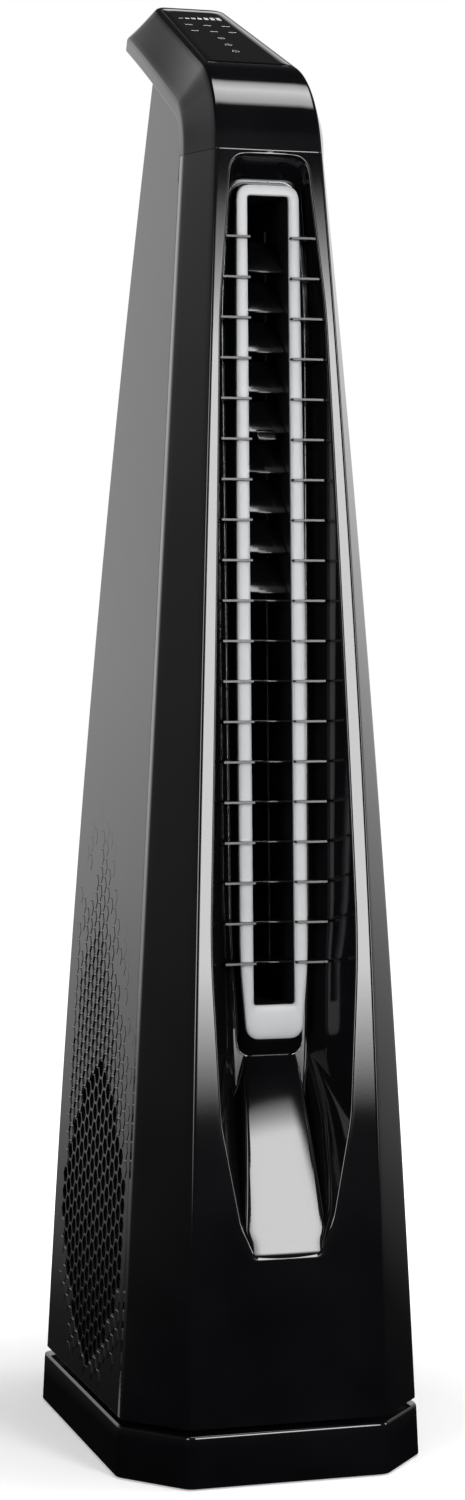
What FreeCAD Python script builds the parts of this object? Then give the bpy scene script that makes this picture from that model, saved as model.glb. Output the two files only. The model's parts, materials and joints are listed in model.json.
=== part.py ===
import FreeCAD, Part
import math
import os

import Sketcher
from FreeCAD import Placement, Rotation, Vector

# Tower fan: a tapering eight-sided tower that swivels on a low plinth.  Air is drawn in through
# honeycomb side panels by a double-inlet blower and leaves by a tall louvred outlet in the front.
# Millimetres, +Z up, the front faces -Y, the origin is on the floor under the middle of the plinth.

doc = FreeCAD.newDocument("tower_fan")

# ---------------------------------------------------------------- driving dimensions
DIMENSIONS = [
    # the tower's outline as curves of height: value at the floor, slope, and curvature
    ("frontHalf", 82.4, "half width of the front face at floor level"),
    ("frontHalfSlope", -0.01358, "its change per millimetre of height"),
    ("frontHalfCurve", -2.08e-5, "its change per square millimetre of height"),
    ("chamferWide", 45.1, "width of the front corner chamfer along X at floor level"),
    ("chamferWideSlope", -0.03664, "its change per millimetre of height"),
    ("chamferWideCurve", 7.94e-6, "its change per square millimetre of height"),
    ("chamferDeep", 50.0, "depth of the front corner chamfer along Y at floor level"),
    ("chamferDeepSlope", -0.0075, "its change per millimetre of height"),
    ("frontFace", -159.6, "Y of the front face at floor level"),
    ("frontFaceSlope", 0.0081, "its change per millimetre of height"),
    ("frontFaceCurve", 4.07e-5, "its change per square millimetre of height"),
    ("backFace", 160.2, "Y of the rear face at floor level"),
    ("backFaceCurve", -7.45e-5, "its change per square millimetre of height"),
    ("backChamfer", 7.0, "chamfer of the rear corners"),
    ("wall", 2.5, "wall of the moulded shells"),
    ("wrap", 11.0, "how far the front shell wraps round behind its corner"),
    ("panelGap", 0.3, "gap between neighbouring panels"),
    # plinth and swivel
    ("plinthHalfWide", 128.8, "half width of the plinth at the floor"),
    ("plinthHalfFront", 83.2, "half width of the plinth's front face"),
    ("plinthHalfDeep", 161.5, "half depth of the plinth"),
    ("plinthChamfer", 52.0, "depth of the plinth's corner chamfers"),
    ("plinthLow", 1.2, "height of the plinth's lower edge"),
    ("plinthTop", 43.0, "height of the plinth's deck"),
    ("plinthDraft", 2.4, "draft angle of the plinth's sides"),
    ("towerLow", 48.0, "height of the tower's lower edge"),
    ("footRadius", 14.0, "radius of a rubber foot"),
    ("footHigh", 3.2, "height of a rubber foot"),
    ("footX", 92.0, "X of the feet"),
    ("footY", 108.0, "Y of the feet"),
    ("ballastThick", 4.0, "thickness of the steel ballast plate"),
    ("glandRadius", 7.0, "radius of the cord gland"),
    ("glandX", 60.0, "X of the cord gland in the plinth's rear wall"),
    ("glandZ", 23.0, "height of the cord gland"),
    ("washerRadius", 34.0, "outer radius of the thrust washer"),
    ("spindleRadius", 12.0, "radius of the swivel spindle"),
    ("spindleTop", 70.0, "height of the top of the spindle"),
    ("runningFit", 0.06, "radial clearance of a running fit"),
    ("panThick", 3.0, "thickness of the tower's floor pan"),
    ("gearModule", 1.5, "tooth size: pitch diameter over number of teeth"),
    ("ringTeeth", 84, "teeth on the fixed ring gear"),
    ("pinionTeeth", 12, "teeth on the swivel pinion"),
    ("gearThick", 3.4, "thickness of the gears"),
    # outlet
    ("slopeSilver", 0.0300, "lean of the outlet's face, Y per millimetre of height"),
    ("silverFace", -133.0, "Y of the outlet's silver face, carried down to the floor"),
    ("floorDeep", 16.5, "depth of the recess floor behind the silver face"),
    ("loopThick", 3.0, "thickness of the silver loop"),
    ("bayHalf", 17.4, "half width of the louvre bay"),
    ("bayLow", 378.3, "height of the bay's lower end"),
    ("bayHigh", 1027.5, "height of the bay's upper end"),
    ("bayWall", 2.5, "thickness of the bay's side walls"),
    ("bayDeep", 56.0, "depth of the bay behind the silver face"),
    ("ribCount", 19, "number of guard ribs and of vanes"),
    ("ribLow", 412.6, "height of the lowest rib"),
    ("ribHigh", 993.5, "height of the highest rib"),
    ("ribThick", 1.8, "thickness of a guard rib"),
    ("ribProud", 7.5, "how far a rib stands in front of the silver face"),
    ("ribReach", 43.0, "half span of the guard ribs"),
    ("upperCount", 9, "vanes in the upper group"),
    # vanes
    ("pivotDeep", 38.0, "depth of the vane pivots behind the silver face"),
    ("vaneReach", 37.0, "reach of a vane in front of its pivot"),
    ("vaneThick", 1.8, "thickness of a vane"),
    ("vaneHalf", 16.9, "half length of a vane"),
    ("pinRadius", 1.5, "radius of a vane's pivot pins"),
    ("pinReach", 2.0, "how far a pivot pin runs into the bay wall"),
    ("upperTilt", 45.0, "front-down tilt of the upper vanes at rest"),
    ("crankArm", 9.0, "distance from a vane's pivot back to its crank pin"),
    ("crankX", 10.0, "X of the link bars"),
    ("crankRadius", 1.0, "radius of a crank pin"),
    ("linkWide", 4.0, "width of a link bar"),
    ("linkThick", 1.6, "thickness of a link bar"),
    ("tabWide", 15.0, "width of a finger tab"),
    ("tabReach", 8.0, "how far a finger tab stands in front of its vane"),
    # hood and controls
    ("seam", 1063.0, "height of the seam under the hood"),
    ("hoodTilt", 7.0, "lean of the hood's front face back from vertical, in degrees"),
    ("bendRadius", 85.0, "radius of the hood's bend"),
    ("hoodSlope", 23.3, "slope of the hood's top in degrees"),
    ("hoodRear", 137.4, "Y of the hood's top rear edge"),
    ("hoodHigh", 1222.0, "height of the hood's top rear edge"),
    ("hoodHalf", 44.4, "half width of the hood's face at the seam"),
    ("hoodTaper", -0.0470, "change of that half width per millimetre along the hood"),
    ("flankHalf", 59.6, "half width over the flanks at the seam"),
    ("flankHalfCurve", -7.9e-5, "its change per square millimetre along the hood"),
    ("flankDeep", 42.0, "depth of the hood's flank at the seam"),
    ("flankDeepSlope", -0.105, "its change per millimetre along the hood"),
    ("flankDeepCurve", 2.06e-4, "its change per square millimetre along the hood"),
    ("stripWide", 11.2, "width of the upright strip below the flank"),
    ("glassStart", 3.0, "distance from the end of the bend to the glass"),
    ("glassMargin", 8.0, "margin between the glass and the hood's rear edge"),
    ("glassInset", 3.4, "margin between the glass and the hood's side edges"),
    ("glassThick", 2.0, "thickness of the control glass"),
    ("glassSunk", 0.4, "how far the glass lies below the hood's surface"),
    # blower
    ("blowerY", -12.0, "Y of the blower's axis"),
    ("blowerZ", 178.0, "height of the blower's axis"),
    ("wheelRadius", 78.0, "radius of the impeller"),
    ("wheelHalf", 46.0, "half width of the impeller"),
    ("bladeDeep", 13.0, "radial depth of an impeller blade"),
    ("bladeThick", 1.6, "thickness of an impeller blade"),
    ("bladeCount", 30, "number of impeller blades"),
    ("shaftRadius", 4.0, "radius of the motor shaft"),
    ("scrollRadius", 100.0, "outer radius of the blower scroll"),
    ("scrollHalf", 52.0, "half width of the blower scroll"),
    ("scrollShift", 12.0, "how far the scroll lies in front of the impeller's axis"),
    ("inletRadius", 62.0, "radius of the blower's inlets"),
    ("throatTop", 330.0, "height of the top of the blower's throat"),
    ("motorRadius", 30.0, "radius of the fan motor"),
    ("motorStart", 62.0, "X of the inner end of the fan motor"),
    ("motorLong", 34.0, "length of the fan motor"),
    # honeycomb intake
    ("cellPitch", 15.2, "vertical pitch of the honeycomb cells"),
    ("cellWeb", 2.2, "web between neighbouring cells"),
    ("cellMiddleZ", 191.0, "height of the middle of the open patch"),
    ("cellMiddleY", 12.0, "Y of the middle of the open patch"),
    ("cellHalfHigh", 122.0, "half height of the open patch"),
    ("cellHalfDeep", 114.0, "half depth of the open patch"),
]

sheet = doc.addObject("Spreadsheet::Sheet", "dims")
for row, (alias, value, note) in enumerate(DIMENSIONS, start=1):
    sheet.set("A%d" % row, note)
    sheet.set("B%d" % row, str(value))
    sheet.setAlias("B%d" % row, alias)
doc.recompute()


def size(alias):
    """The value of one cell of the sheet."""
    return float(sheet.get(alias))


FAR = 400.0          # longer than anything it has to reach past
FRONT_X = Vector(1, 0, 0)
UP = Vector(0, 0, 1)
BACK = Vector(0, 1, 0)

sub_parts = []


def keep(feature, label):
    """Name a finished sub-part, so that it is written to its own file."""
    feature.Label = label
    sub_parts.append(feature)
    return feature


# ---------------------------------------------------------------- helpers: sketches and bodies
def new_body(label):
    body = doc.addObject("PartDesign::Body", label)
    keep(body, label)
    return body


def origin_plane(body, role):
    for feature in body.Origin.OriginFeatures:
        if feature.Role == role:
            return feature
    raise ValueError(role)


def new_sketch(body, name, role, offset=None):
    sketch = body.newObject("Sketcher::SketchObject", name)
    sketch.AttachmentSupport = (origin_plane(body, role), [""])
    sketch.MapMode = "FlatFace"
    if offset is not None:
        sketch.setExpression("AttachmentOffset.Base.z", offset)
    return sketch


def bind_constraint(sketch, expression, kind, *places):
    value = float(sheet.evalExpression(expression))
    index = sketch.addConstraint(Sketcher.Constraint(kind, *places, value))
    sketch.setExpression("Constraints[%d]" % index, expression)


def add_polygon(sketch, corners):
    """A closed polygon whose corner coordinates are expressions on the sheet."""
    values = [(sheet.evalExpression(x), sheet.evalExpression(y)) for x, y in corners]
    first = None
    lines = []
    for index in range(len(values)):
        x0, y0 = values[index]
        x1, y1 = values[(index + 1) % len(values)]
        line = sketch.addGeometry(Part.LineSegment(Vector(x0, y0, 0), Vector(x1, y1, 0)), False)
        lines.append(line)
        first = line if first is None else first
    for index, line in enumerate(lines):
        after = lines[(index + 1) % len(lines)]
        sketch.addConstraint(Sketcher.Constraint("Coincident", line, 2, after, 1))
    for line, (x, y) in zip(lines, corners):
        bind_constraint(sketch, x, "DistanceX", -1, 1, line, 1)
        bind_constraint(sketch, y, "DistanceY", -1, 1, line, 1)


def add_rectangle(sketch, left, bottom, right, top):
    add_polygon(sketch, [(left, bottom), (right, bottom), (right, top), (left, top)])


def add_circle(sketch, x, y, radius):
    centre = Vector(sheet.evalExpression(x), sheet.evalExpression(y), 0)
    circle = sketch.addGeometry(Part.Circle(centre, UP, sheet.evalExpression(radius)), False)
    bind_constraint(sketch, x, "DistanceX", -1, 1, circle, 3)
    bind_constraint(sketch, y, "DistanceY", -1, 1, circle, 3)
    bind_constraint(sketch, radius, "Radius", circle)


def pad(body, sketch, name, length, middle=False, reverse=False, taper=None):
    feature = body.newObject("PartDesign::Pad", name)
    feature.Profile = sketch
    feature.setExpression("Length", length)
    feature.Midplane = middle
    feature.Reversed = reverse
    if taper is not None:
        feature.setExpression("TaperAngle", taper)
    doc.recompute()
    return feature


def pocket(body, sketch, name, length, middle=False, reverse=False):
    """Cut a pocket, and make sure that it really takes material away."""
    before = body.Shape.Volume
    feature = body.newObject("PartDesign::Pocket", name)
    feature.Profile = sketch
    feature.setExpression("Length", length)
    feature.Midplane = middle
    feature.Reversed = reverse
    doc.recompute()
    if not body.Shape.Volume < before:
        raise ValueError("%s cuts nothing" % name)
    return feature


# ---------------------------------------------------------------- helpers: primitives and booleans
def primitive(kind, name, placement, **sizes):
    feature = doc.addObject("Part::" + kind, name)
    for prop, expression in sizes.items():
        feature.setExpression(prop, expression)
    feature.Placement = placement
    return feature


def fuse(name, shapes):
    feature = doc.addObject("Part::MultiFuse", name)
    feature.Shapes = shapes
    return feature


def cut(name, base, tool):
    feature = doc.addObject("Part::Cut", name)
    feature.Base = base
    feature.Tool = tool
    return feature


def group(label, members):
    """Identical pieces that share one node as separate solids."""
    feature = doc.addObject("Part::Compound", label)
    feature.Links = members
    return keep(feature, label)


def freeform(label, shape, placement=None):
    """A piece whose shape no body or primitive fits."""
    feature = doc.addObject("Part::Feature", label)
    feature.Shape = shape
    feature.Placement = placement if placement is not None else Placement()
    return keep(feature, label)


ALONG_X = Rotation(Vector(0, 1, 0), 90)      # turns a cylinder's axis from Z to X
ALONG_Y = Rotation(Vector(1, 0, 0), -90)     # turns a cylinder's axis from Z to Y


# ---------------------------------------------------------------- helpers: plane outlines
def offset_outline(points, distance):
    """Move each side of a closed outline inward (counter-clockwise order) by a distance."""
    moved = []
    count = len(points)
    for index in range(count):
        before = points[index - 1]
        here = points[index]
        after = points[(index + 1) % count]
        first = (here[0] - before[0], here[1] - before[1])
        second = (after[0] - here[0], after[1] - here[1])
        long_first = math.hypot(*first)
        long_second = math.hypot(*second)
        n_first = (-first[1] / long_first, first[0] / long_first)
        n_second = (-second[1] / long_second, second[0] / long_second)
        scale = distance / (1.0 + n_first[0] * n_second[0] + n_first[1] * n_second[1])
        moved.append((here[0] + (n_first[0] + n_second[0]) * scale,
                      here[1] + (n_first[1] + n_second[1]) * scale))
    return moved


def rounded_wire(corners, radii, place):
    """A closed wire through corners (u, v) with tangent arcs; place(u, v) gives the 3-D point."""
    ends = []
    count = len(corners)
    for index in range(count):
        before = corners[index - 1]
        here = corners[index]
        after = corners[(index + 1) % count]
        to_before = (before[0] - here[0], before[1] - here[1])
        to_after = (after[0] - here[0], after[1] - here[1])
        long_before = math.hypot(*to_before)
        long_after = math.hypot(*to_after)
        unit_before = (to_before[0] / long_before, to_before[1] / long_before)
        unit_after = (to_after[0] / long_after, to_after[1] / long_after)
        cosine = unit_before[0] * unit_after[0] + unit_before[1] * unit_after[1]
        half = math.acos(max(-1.0, min(1.0, cosine))) / 2.0
        reach = min(radii[index] / math.tan(half), 0.45 * long_before, 0.45 * long_after)
        radius = reach * math.tan(half)
        start = (here[0] + unit_before[0] * reach, here[1] + unit_before[1] * reach)
        end = (here[0] + unit_after[0] * reach, here[1] + unit_after[1] * reach)
        bisector = (unit_before[0] + unit_after[0], unit_before[1] + unit_after[1])
        long_bisector = math.hypot(*bisector)
        near = radius / math.sin(half) - radius
        middle = (here[0] + bisector[0] / long_bisector * near,
                  here[1] + bisector[1] / long_bisector * near)
        ends.append((start, middle, end))
    edges = []
    for index in range(count):
        start, middle, end = (place(*point) for point in ends[index])
        edges.append(Part.Arc(start, middle, end).toShape())
        following = place(*ends[(index + 1) % count][0])
        edges.append(Part.LineSegment(end, following).toShape())
    return Part.Wire(edges)


def mirrored_corners(right):
    """Corners of an outline symmetric about X = 0, from its right half, top to bottom."""
    left = [(-x, z) for x, z in reversed(right)]
    return right + left


def polygon_face(points):
    return Part.Face(Part.makePolygon(points + [points[0]]))


# ---------------------------------------------------------------- the tower's outline
def tower_outline(height, inset=0.0):
    """The eight corners (x, y) of the tower's section, counter-clockwise from the front left."""
    half = size("frontHalf") + size("frontHalfSlope") * height + size("frontHalfCurve") * height ** 2
    wide = size("chamferWide") + size("chamferWideSlope") * height
    wide += size("chamferWideCurve") * height ** 2
    deep = size("chamferDeep") + size("chamferDeepSlope") * height
    front = size("frontFace") + size("frontFaceSlope") * height + size("frontFaceCurve") * height ** 2
    back = size("backFace") + size("backFaceCurve") * height ** 2
    bevel = size("backChamfer")
    corners = [(-half, front), (half, front), (half + wide, front + deep), (half + wide, back - bevel),
               (half + wide - bevel, back), (-half - wide + bevel, back),
               (-half - wide, back - bevel), (-half - wide, front + deep)]
    return offset_outline(corners, inset) if inset else corners


def front_y(height):
    return tower_outline(height)[0][1]


def loft_sections(section, low, high, stations):
    """A smooth solid through horizontal sections; section(z) gives the corners (x, y)."""
    wires = []
    for index in range(stations):
        height = low + (high - low) * index / (stations - 1.0)
        points = [Vector(x, y, height) for x, y in section(height)]
        wires.append(Part.makePolygon(points + [points[0]]))
    return Part.makeLoft(wires, True, False)


STATIONS = 7
tower_low = size("towerLow")
tower_high = 1175.0      # above the underside of the hood
envelope = loft_sections(tower_outline, tower_low, tower_high, STATIONS)
hollow = loft_sections(lambda z: tower_outline(z, size("wall")), tower_low - 1, tower_high + 1, STATIONS)
tower_shell = envelope.cut(hollow)


def band_block(low_y, high_y, top):
    """A block between two curves of Y, as tall as the tower up to a given height."""
    def section(height):
        return [(-FAR, low_y(height)), (FAR, low_y(height)), (FAR, high_y(height)), (-FAR, high_y(height))]
    return loft_sections(section, tower_low - 1, top, STATIONS)


def corner_y(height):
    return tower_outline(height)[2][1] + size("wrap")


def rear_y(height):
    return tower_outline(height)[3][1]


# ---------------------------------------------------------------- the hood's sweep
def hood_line():
    """The line of the hood's outer face in the middle plane: straight, arc, straight."""
    steep = math.radians(90.0 - size("hoodTilt"))
    shallow = math.radians(size("hoodSlope"))
    start = (front_y(size("seam")), size("seam"))
    rear = (size("hoodRear"), size("hoodHigh"))
    # where the steep line and the shallow line meet
    across = rear[0] - start[0]
    rise = rear[1] - start[1]
    cross = math.cos(steep) * math.sin(shallow) - math.sin(steep) * math.cos(shallow)
    run = (across * math.sin(shallow) - rise * math.cos(shallow)) / cross
    corner = (start[0] + math.cos(steep) * run, start[1] + math.sin(steep) * run)
    reach = size("bendRadius") * math.tan((steep - shallow) / 2)
    straight = run - reach
    bend = size("bendRadius") * (steep - shallow)
    top_run = math.hypot(rear[0] - corner[0], rear[1] - corner[1]) - reach
    return start, steep, shallow, straight, bend, top_run


def hood_place(along):
    """Point (y, z) and direction of the hood's line at a distance along it from the seam."""
    start, steep, shallow, straight, bend, _ = hood_line()
    radius = size("bendRadius")
    bend_low = (start[0] + math.cos(steep) * straight, start[1] + math.sin(steep) * straight)
    centre = (bend_low[0] + math.sin(steep) * radius, bend_low[1] - math.cos(steep) * radius)
    if along < straight:
        here = (start[0] + math.cos(steep) * along, start[1] + math.sin(steep) * along)
        return here, steep
    angle = max(shallow, steep - (along - straight) / radius)
    here = (centre[0] - math.sin(angle) * radius, centre[1] + math.cos(angle) * radius)
    beyond = max(0.0, along - straight - bend)
    return (here[0] + math.cos(shallow) * beyond, here[1] + math.sin(shallow) * beyond), angle


def hood_length():
    return sum(hood_line()[3:])


def hood_section(along, inset=0.0):
    """The hood's section across its line: corners (x, depth behind the outer face)."""
    half = size("hoodHalf") + size("hoodTaper") * along
    outer = size("flankHalf") + size("flankHalfCurve") * along ** 2
    deep = size("flankDeep") + size("flankDeepSlope") * along + size("flankDeepCurve") * along ** 2
    low = deep + size("stripWide")
    corners = [(-half, 0), (half, 0), (outer, deep), (outer, low), (-outer, low), (-outer, deep)]
    return offset_outline(corners, inset) if inset else corners


def hood_point(along, x, deep):
    here, angle = hood_place(along)
    return Vector(x, here[0] + math.sin(angle) * deep, here[1] - math.cos(angle) * deep)


def hood_stations(start, end):
    """Distances along the hood where its sections are placed: close together in the bend."""
    _, _, _, straight, bend, _ = hood_line()
    places = [start, (start + straight) / 2]
    places += [straight + bend * index / 8.0 for index in range(9)]
    places += [straight + bend + (end - straight - bend) * part for part in (0.33, 0.67, 1.0)]
    return places


def hood_loft(inset, start, end):
    wires = []
    for along in hood_stations(start, end):
        points = [hood_point(along, x, deep) for x, deep in hood_section(along, inset)]
        wires.append(Part.makePolygon(points + [points[0]]))
    return Part.makeLoft(wires, True, True)


HOOD_LEAD = 14.0      # the sweep starts this far below the seam and is then cut level
level_cut = Part.makeBox(2 * FAR, 2 * FAR, FAR, Vector(-FAR, -FAR, size("seam") - FAR))
hood_solid = hood_loft(0.0, -HOOD_LEAD, hood_length()).cut(level_cut)
hood_hollow = hood_loft(size("wall"), -2 * HOOD_LEAD, hood_length() - size("wall"))


def slope_frame():
    """The hood's top plane: origin at the end of the bend, X across, Y up the slope."""
    _, _, _, straight, bend, _ = hood_line()
    return Placement(hood_point(straight + bend, 0, 0), Rotation(FRONT_X, size("hoodSlope")))


def top_half(distance):
    """Half width of the hood's top at a distance up the slope from the end of the bend."""
    _, _, _, straight, bend, _ = hood_line()
    return size("hoodHalf") + size("hoodTaper") * (straight + bend + distance)


# ---------------------------------------------------------------- the outlet's outlines
def silver_y(height):
    return size("silverFace") + size("slopeSilver") * height


def on_plane(depth):
    """A function that lays (x, z) on the leaning plane at a depth behind the silver face."""
    return lambda x, z: Vector(x, silver_y(z) + depth, z)


# right half of each outline, top to bottom: corner and the radius that rounds it
MOUTH = [((31.2, 1060), 20), ((43.8, 938), 700), ((60.8, 425), 900), ((54.0, 287), 150),
         ((38.0, 205), 60), ((27.0, 180), 5)]
FLOOR = [((29.4, 1043), 18), ((36.8, 943), 900), ((34.8, 455), 900), ((33.2, 385), 150),
         ((29.0, 342), 8), ((18.0, 332), 5)]
POD = [((26.8, 1040), 16), ((34.2, 945), 700), ((32.3, 440), 700), ((26.6, 336), 13)]
LOOP = [((25.9, 1036), 13), ((28.9, 704), 20000), ((28.4, 412), 500), ((23.2, 351), 12)]


def half_width(outline, height):
    """Half width of an outline at a height, along the straight runs between its corners."""
    for (upper, _), (lower, _) in zip(outline, outline[1:]):
        if lower[1] <= height <= upper[1]:
            part = (height - lower[1]) / (upper[1] - lower[1])
            return lower[0] + (upper[0] - lower[0]) * part
    return outline[0][0][0] if height > outline[0][0][1] else outline[-1][0][0]


def outline_wire(outline, depth, grow=0.0):
    corners = mirrored_corners([corner for corner, _ in outline])
    if grow:
        corners = offset_outline(corners, grow)   # clockwise corners move outward
    radii = [radius for _, radius in outline]
    return rounded_wire(corners, radii + radii[::-1], on_plane(depth))


def funnel(grow, floor_extra):
    """The outlet's funnel: ruled from beyond the front face back to the recess floor."""
    beyond = -60.0
    deep = size("floorDeep")
    outer = []
    for (mouth, radius), (floor, _) in zip(MOUTH, FLOOR):
        face = front_y(mouth[1]) - silver_y(mouth[1])
        ratio = (deep - beyond) / (deep - face)
        outer.append(((floor[0] + (mouth[0] - floor[0]) * ratio,
                       floor[1] + (mouth[1] - floor[1]) * ratio), radius))
    near = outline_wire(outer, beyond, grow)
    far = outline_wire(FLOOR, deep + floor_extra, grow)
    return Part.makeLoft([near, far], True, True)


def slab(outline, depth, thick, grow=0.0):
    """A plate with a rounded outline on a plane parallel to the silver face."""
    return Part.Face(outline_wire(outline, depth, grow)).extrude(BACK * thick)


def bay_block(half, low, high, start, end):
    """A leaning block of constant half width between two depths behind the silver face."""
    lower = [Vector(x, silver_y(low) + y, low) for x, y in
             ((-half, start), (half, start), (half, end), (-half, end))]
    upper = [Vector(x, silver_y(high) + y, high) for x, y in
             ((-half, start), (half, start), (half, end), (-half, end))]
    wires = [Part.makePolygon(points + [points[0]]) for points in (lower, upper)]
    return Part.makeLoft(wires, True, True)


def rib_height(index):
    """Height of rib and vane number index, counted from the top, starting at nought."""
    return size("ribHigh") - (size("ribHigh") - size("ribLow")) * index / (size("ribCount") - 1)


rib_heights = [rib_height(index) for index in range(int(size("ribCount")))]
pivots = [Vector(0, silver_y(z) + size("pivotDeep"), z) for z in rib_heights]

# ================================================================ plinth
half_wide = "dims.plinthHalfWide"
half_front = "dims.plinthHalfFront"
half_deep = "dims.plinthHalfDeep"
corner_deep = "(dims.plinthHalfDeep - dims.plinthChamfer)"


def octagon(inset):
    """Plinth corners as expressions, inset by a number of millimetres."""
    wide = "%s - %s" % (half_wide, inset)
    front = "%s - %s * 0.42" % (half_front, inset)
    deep = "%s - %s" % (half_deep, inset)
    corner = "%s - %s * 0.42" % (corner_deep, inset)
    return [("-(%s)" % front, "-(%s)" % deep), (front, "-(%s)" % deep), (wide, "-(%s)" % corner),
            (wide, deep), ("-(%s)" % wide, deep), ("-(%s)" % wide, "-(%s)" % corner)]


plinth = new_body("plinth")
sketch = new_sketch(plinth, "plinth_outline", "XY_Plane", "dims.plinthLow")
add_polygon(sketch, octagon("0"))
pad(plinth, sketch, "plinth_block", "dims.plinthTop - dims.plinthLow", taper="-dims.plinthDraft")
sketch = new_sketch(plinth, "plinth_hollow", "XY_Plane", "dims.plinthLow")
add_polygon(sketch, octagon("(dims.wall + 2)"))
pocket(plinth, sketch, "plinth_inside", "dims.plinthTop - dims.plinthLow - dims.wall", reverse=True)

sketch = new_sketch(plinth, "plinth_cord_hole", "XZ_Plane")
add_circle(sketch, "dims.glandX", "dims.glandZ", "dims.glandRadius + 0.05")
pocket(plinth, sketch, "cord_hole", "2 * dims.plinthHalfDeep")

ballast = new_body("ballast_plate")
sketch = new_sketch(ballast, "ballast_outline", "XY_Plane", "dims.footHigh")
add_polygon(sketch, octagon("(dims.wall + 2.4)"))
pad(ballast, sketch, "ballast_sheet", "dims.ballastThick")

feet = []
for side in (-1, 1):
    for end in (-1, 1):
        name = "foot_%d" % (len(feet) + 1)
        foot = primitive("Cylinder", name, Placement(), Radius="dims.footRadius", Height="dims.footHigh")
        foot.setExpression("Placement.Base.x", "%d * dims.footX" % side)
        foot.setExpression("Placement.Base.y", "%d * dims.footY" % end)
        feet.append(foot)
group("rubber_feet", feet)

screws = []
for side in (-1, 1):
    for end in (-1, 1):
        name = "plinth_screw_%d" % (len(screws) + 1)
        head = primitive("Cone", name + "_head", Placement(), Radius1="4", Radius2="2",
                         Height="dims.footHigh - 1.2")
        head.setExpression("Placement.Base.x", "%d * (dims.footX - 30)" % side)
        head.setExpression("Placement.Base.y", "%d * dims.footY" % end)
        head.setExpression("Placement.Base.z", "1.2")
        screws.append(head)
group("plinth_screws", screws)

spindle = new_body("swivel_spindle")
sketch = new_sketch(spindle, "spindle_post", "XY_Plane", "dims.plinthTop")
add_circle(sketch, "0", "0", "dims.spindleRadius")
pad(spindle, sketch, "post", "dims.spindleTop - dims.plinthTop")
sketch = new_sketch(spindle, "spindle_bore", "XY_Plane", "dims.plinthTop")
add_circle(sketch, "0", "0", "dims.spindleRadius - 3")
pocket(spindle, sketch, "wire_way", "dims.spindleTop", reverse=True)

clip_disc = primitive("Cylinder", "clip_disc", Placement(), Radius="dims.spindleRadius + 5", Height="2")
clip_disc.setExpression("Placement.Base.z", "dims.spindleTop")
clip_bore = primitive("Cylinder", "clip_bore", Placement(), Radius="dims.spindleRadius - 3", Height="6")
clip_bore.setExpression("Placement.Base.z", "dims.spindleTop - 2")
keep(cut("spindle_clip", clip_disc, clip_bore), "spindle_clip")


washer = new_body("thrust_washer")
sketch = new_sketch(washer, "washer_outline", "XY_Plane", "dims.plinthTop")
add_circle(sketch, "0", "0", "dims.washerRadius")
add_circle(sketch, "0", "0", "dims.spindleRadius + 2")
pad(washer, sketch, "washer_ring", "dims.towerLow - dims.plinthTop - 0.1")


def gear_solid(teeth, bore, thick, phase):
    """Straight-sided teeth on a ring: narrow tips, wide roots, room between the flanks."""
    module = size("gearModule")
    pitch_radius = module * teeth / 2.0
    tip = pitch_radius + 0.80 * module
    root = pitch_radius - 1.05 * module
    step = 2 * math.pi / teeth
    tip_part = 0.10
    root_part = 0.27
    points = []
    for tooth in range(teeth):
        middle = step * tooth + phase
        for radius, part in ((root, -root_part), (tip, -tip_part), (tip, tip_part), (root, root_part)):
            angle = middle + part * step
            points.append(Vector(radius * math.cos(angle), radius * math.sin(angle), 0))
    solid = polygon_face(points).extrude(UP * thick)
    return solid.cut(Part.makeCylinder(bore, thick))


ring_teeth = int(size("ringTeeth"))
pinion_teeth = int(size("pinionTeeth"))
gear_low = size("plinthTop")
gear_thick = size("gearThick")
centre_distance = size("gearModule") * (ring_teeth + pinion_teeth) / 2.0
ring_shape = gear_solid(ring_teeth, size("gearModule") * ring_teeth / 2 - 9, gear_thick, 0.0)
freeform("swivel_ring_gear", ring_shape, Placement(Vector(0, 0, gear_low), Rotation()))

cord_gland = primitive("Cylinder", "cord_gland", Placement(Vector(0, 0, 0), ALONG_Y),
                       Radius="dims.glandRadius", Height="14")
cord_gland.setExpression("Placement.Base.x", "dims.glandX")
cord_gland.setExpression("Placement.Base.y", "dims.plinthHalfDeep - 15.3")
cord_gland.setExpression("Placement.Base.z", "dims.glandZ")
keep(cord_gland, "cord_gland")

# ================================================================ swivel drive on the tower
pinion_shape = gear_solid(pinion_teeth, 2.0, gear_thick - 0.6, math.pi / pinion_teeth)
freeform("swivel_pinion", pinion_shape,
         Placement(Vector(centre_distance, 0, gear_low + 0.5), Rotation()))

pan = new_body("floor_pan")
pan_outline = tower_outline(tower_low, size("wall") + 0.4)
sketch = new_sketch(pan, "pan_outline", "XY_Plane", "dims.towerLow + 0.2")
add_polygon(sketch, [("%.3f" % x, "%.3f" % y) for x, y in pan_outline])
pad(pan, sketch, "pan_plate", "dims.panThick")
sketch = new_sketch(pan, "pan_hub", "XY_Plane", "dims.towerLow + 0.2")
add_circle(sketch, "0", "0", "dims.spindleRadius + 6")
pad(pan, sketch, "pan_boss", "dims.spindleTop - dims.towerLow - 0.6")
sketch = new_sketch(pan, "pan_bore", "XY_Plane", "dims.towerLow")
add_circle(sketch, "0", "0", "dims.spindleRadius + dims.runningFit")
pocket(pan, sketch, "pan_bearing", "dims.spindleTop", reverse=True)
sketch = new_sketch(pan, "pan_drive_hole", "XY_Plane", "dims.towerLow")
add_circle(sketch, "dims.gearModule * (dims.ringTeeth + dims.pinionTeeth) / 2", "0", "5")
pocket(pan, sketch, "drive_hole", "dims.panThick + 1", reverse=True)

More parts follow.
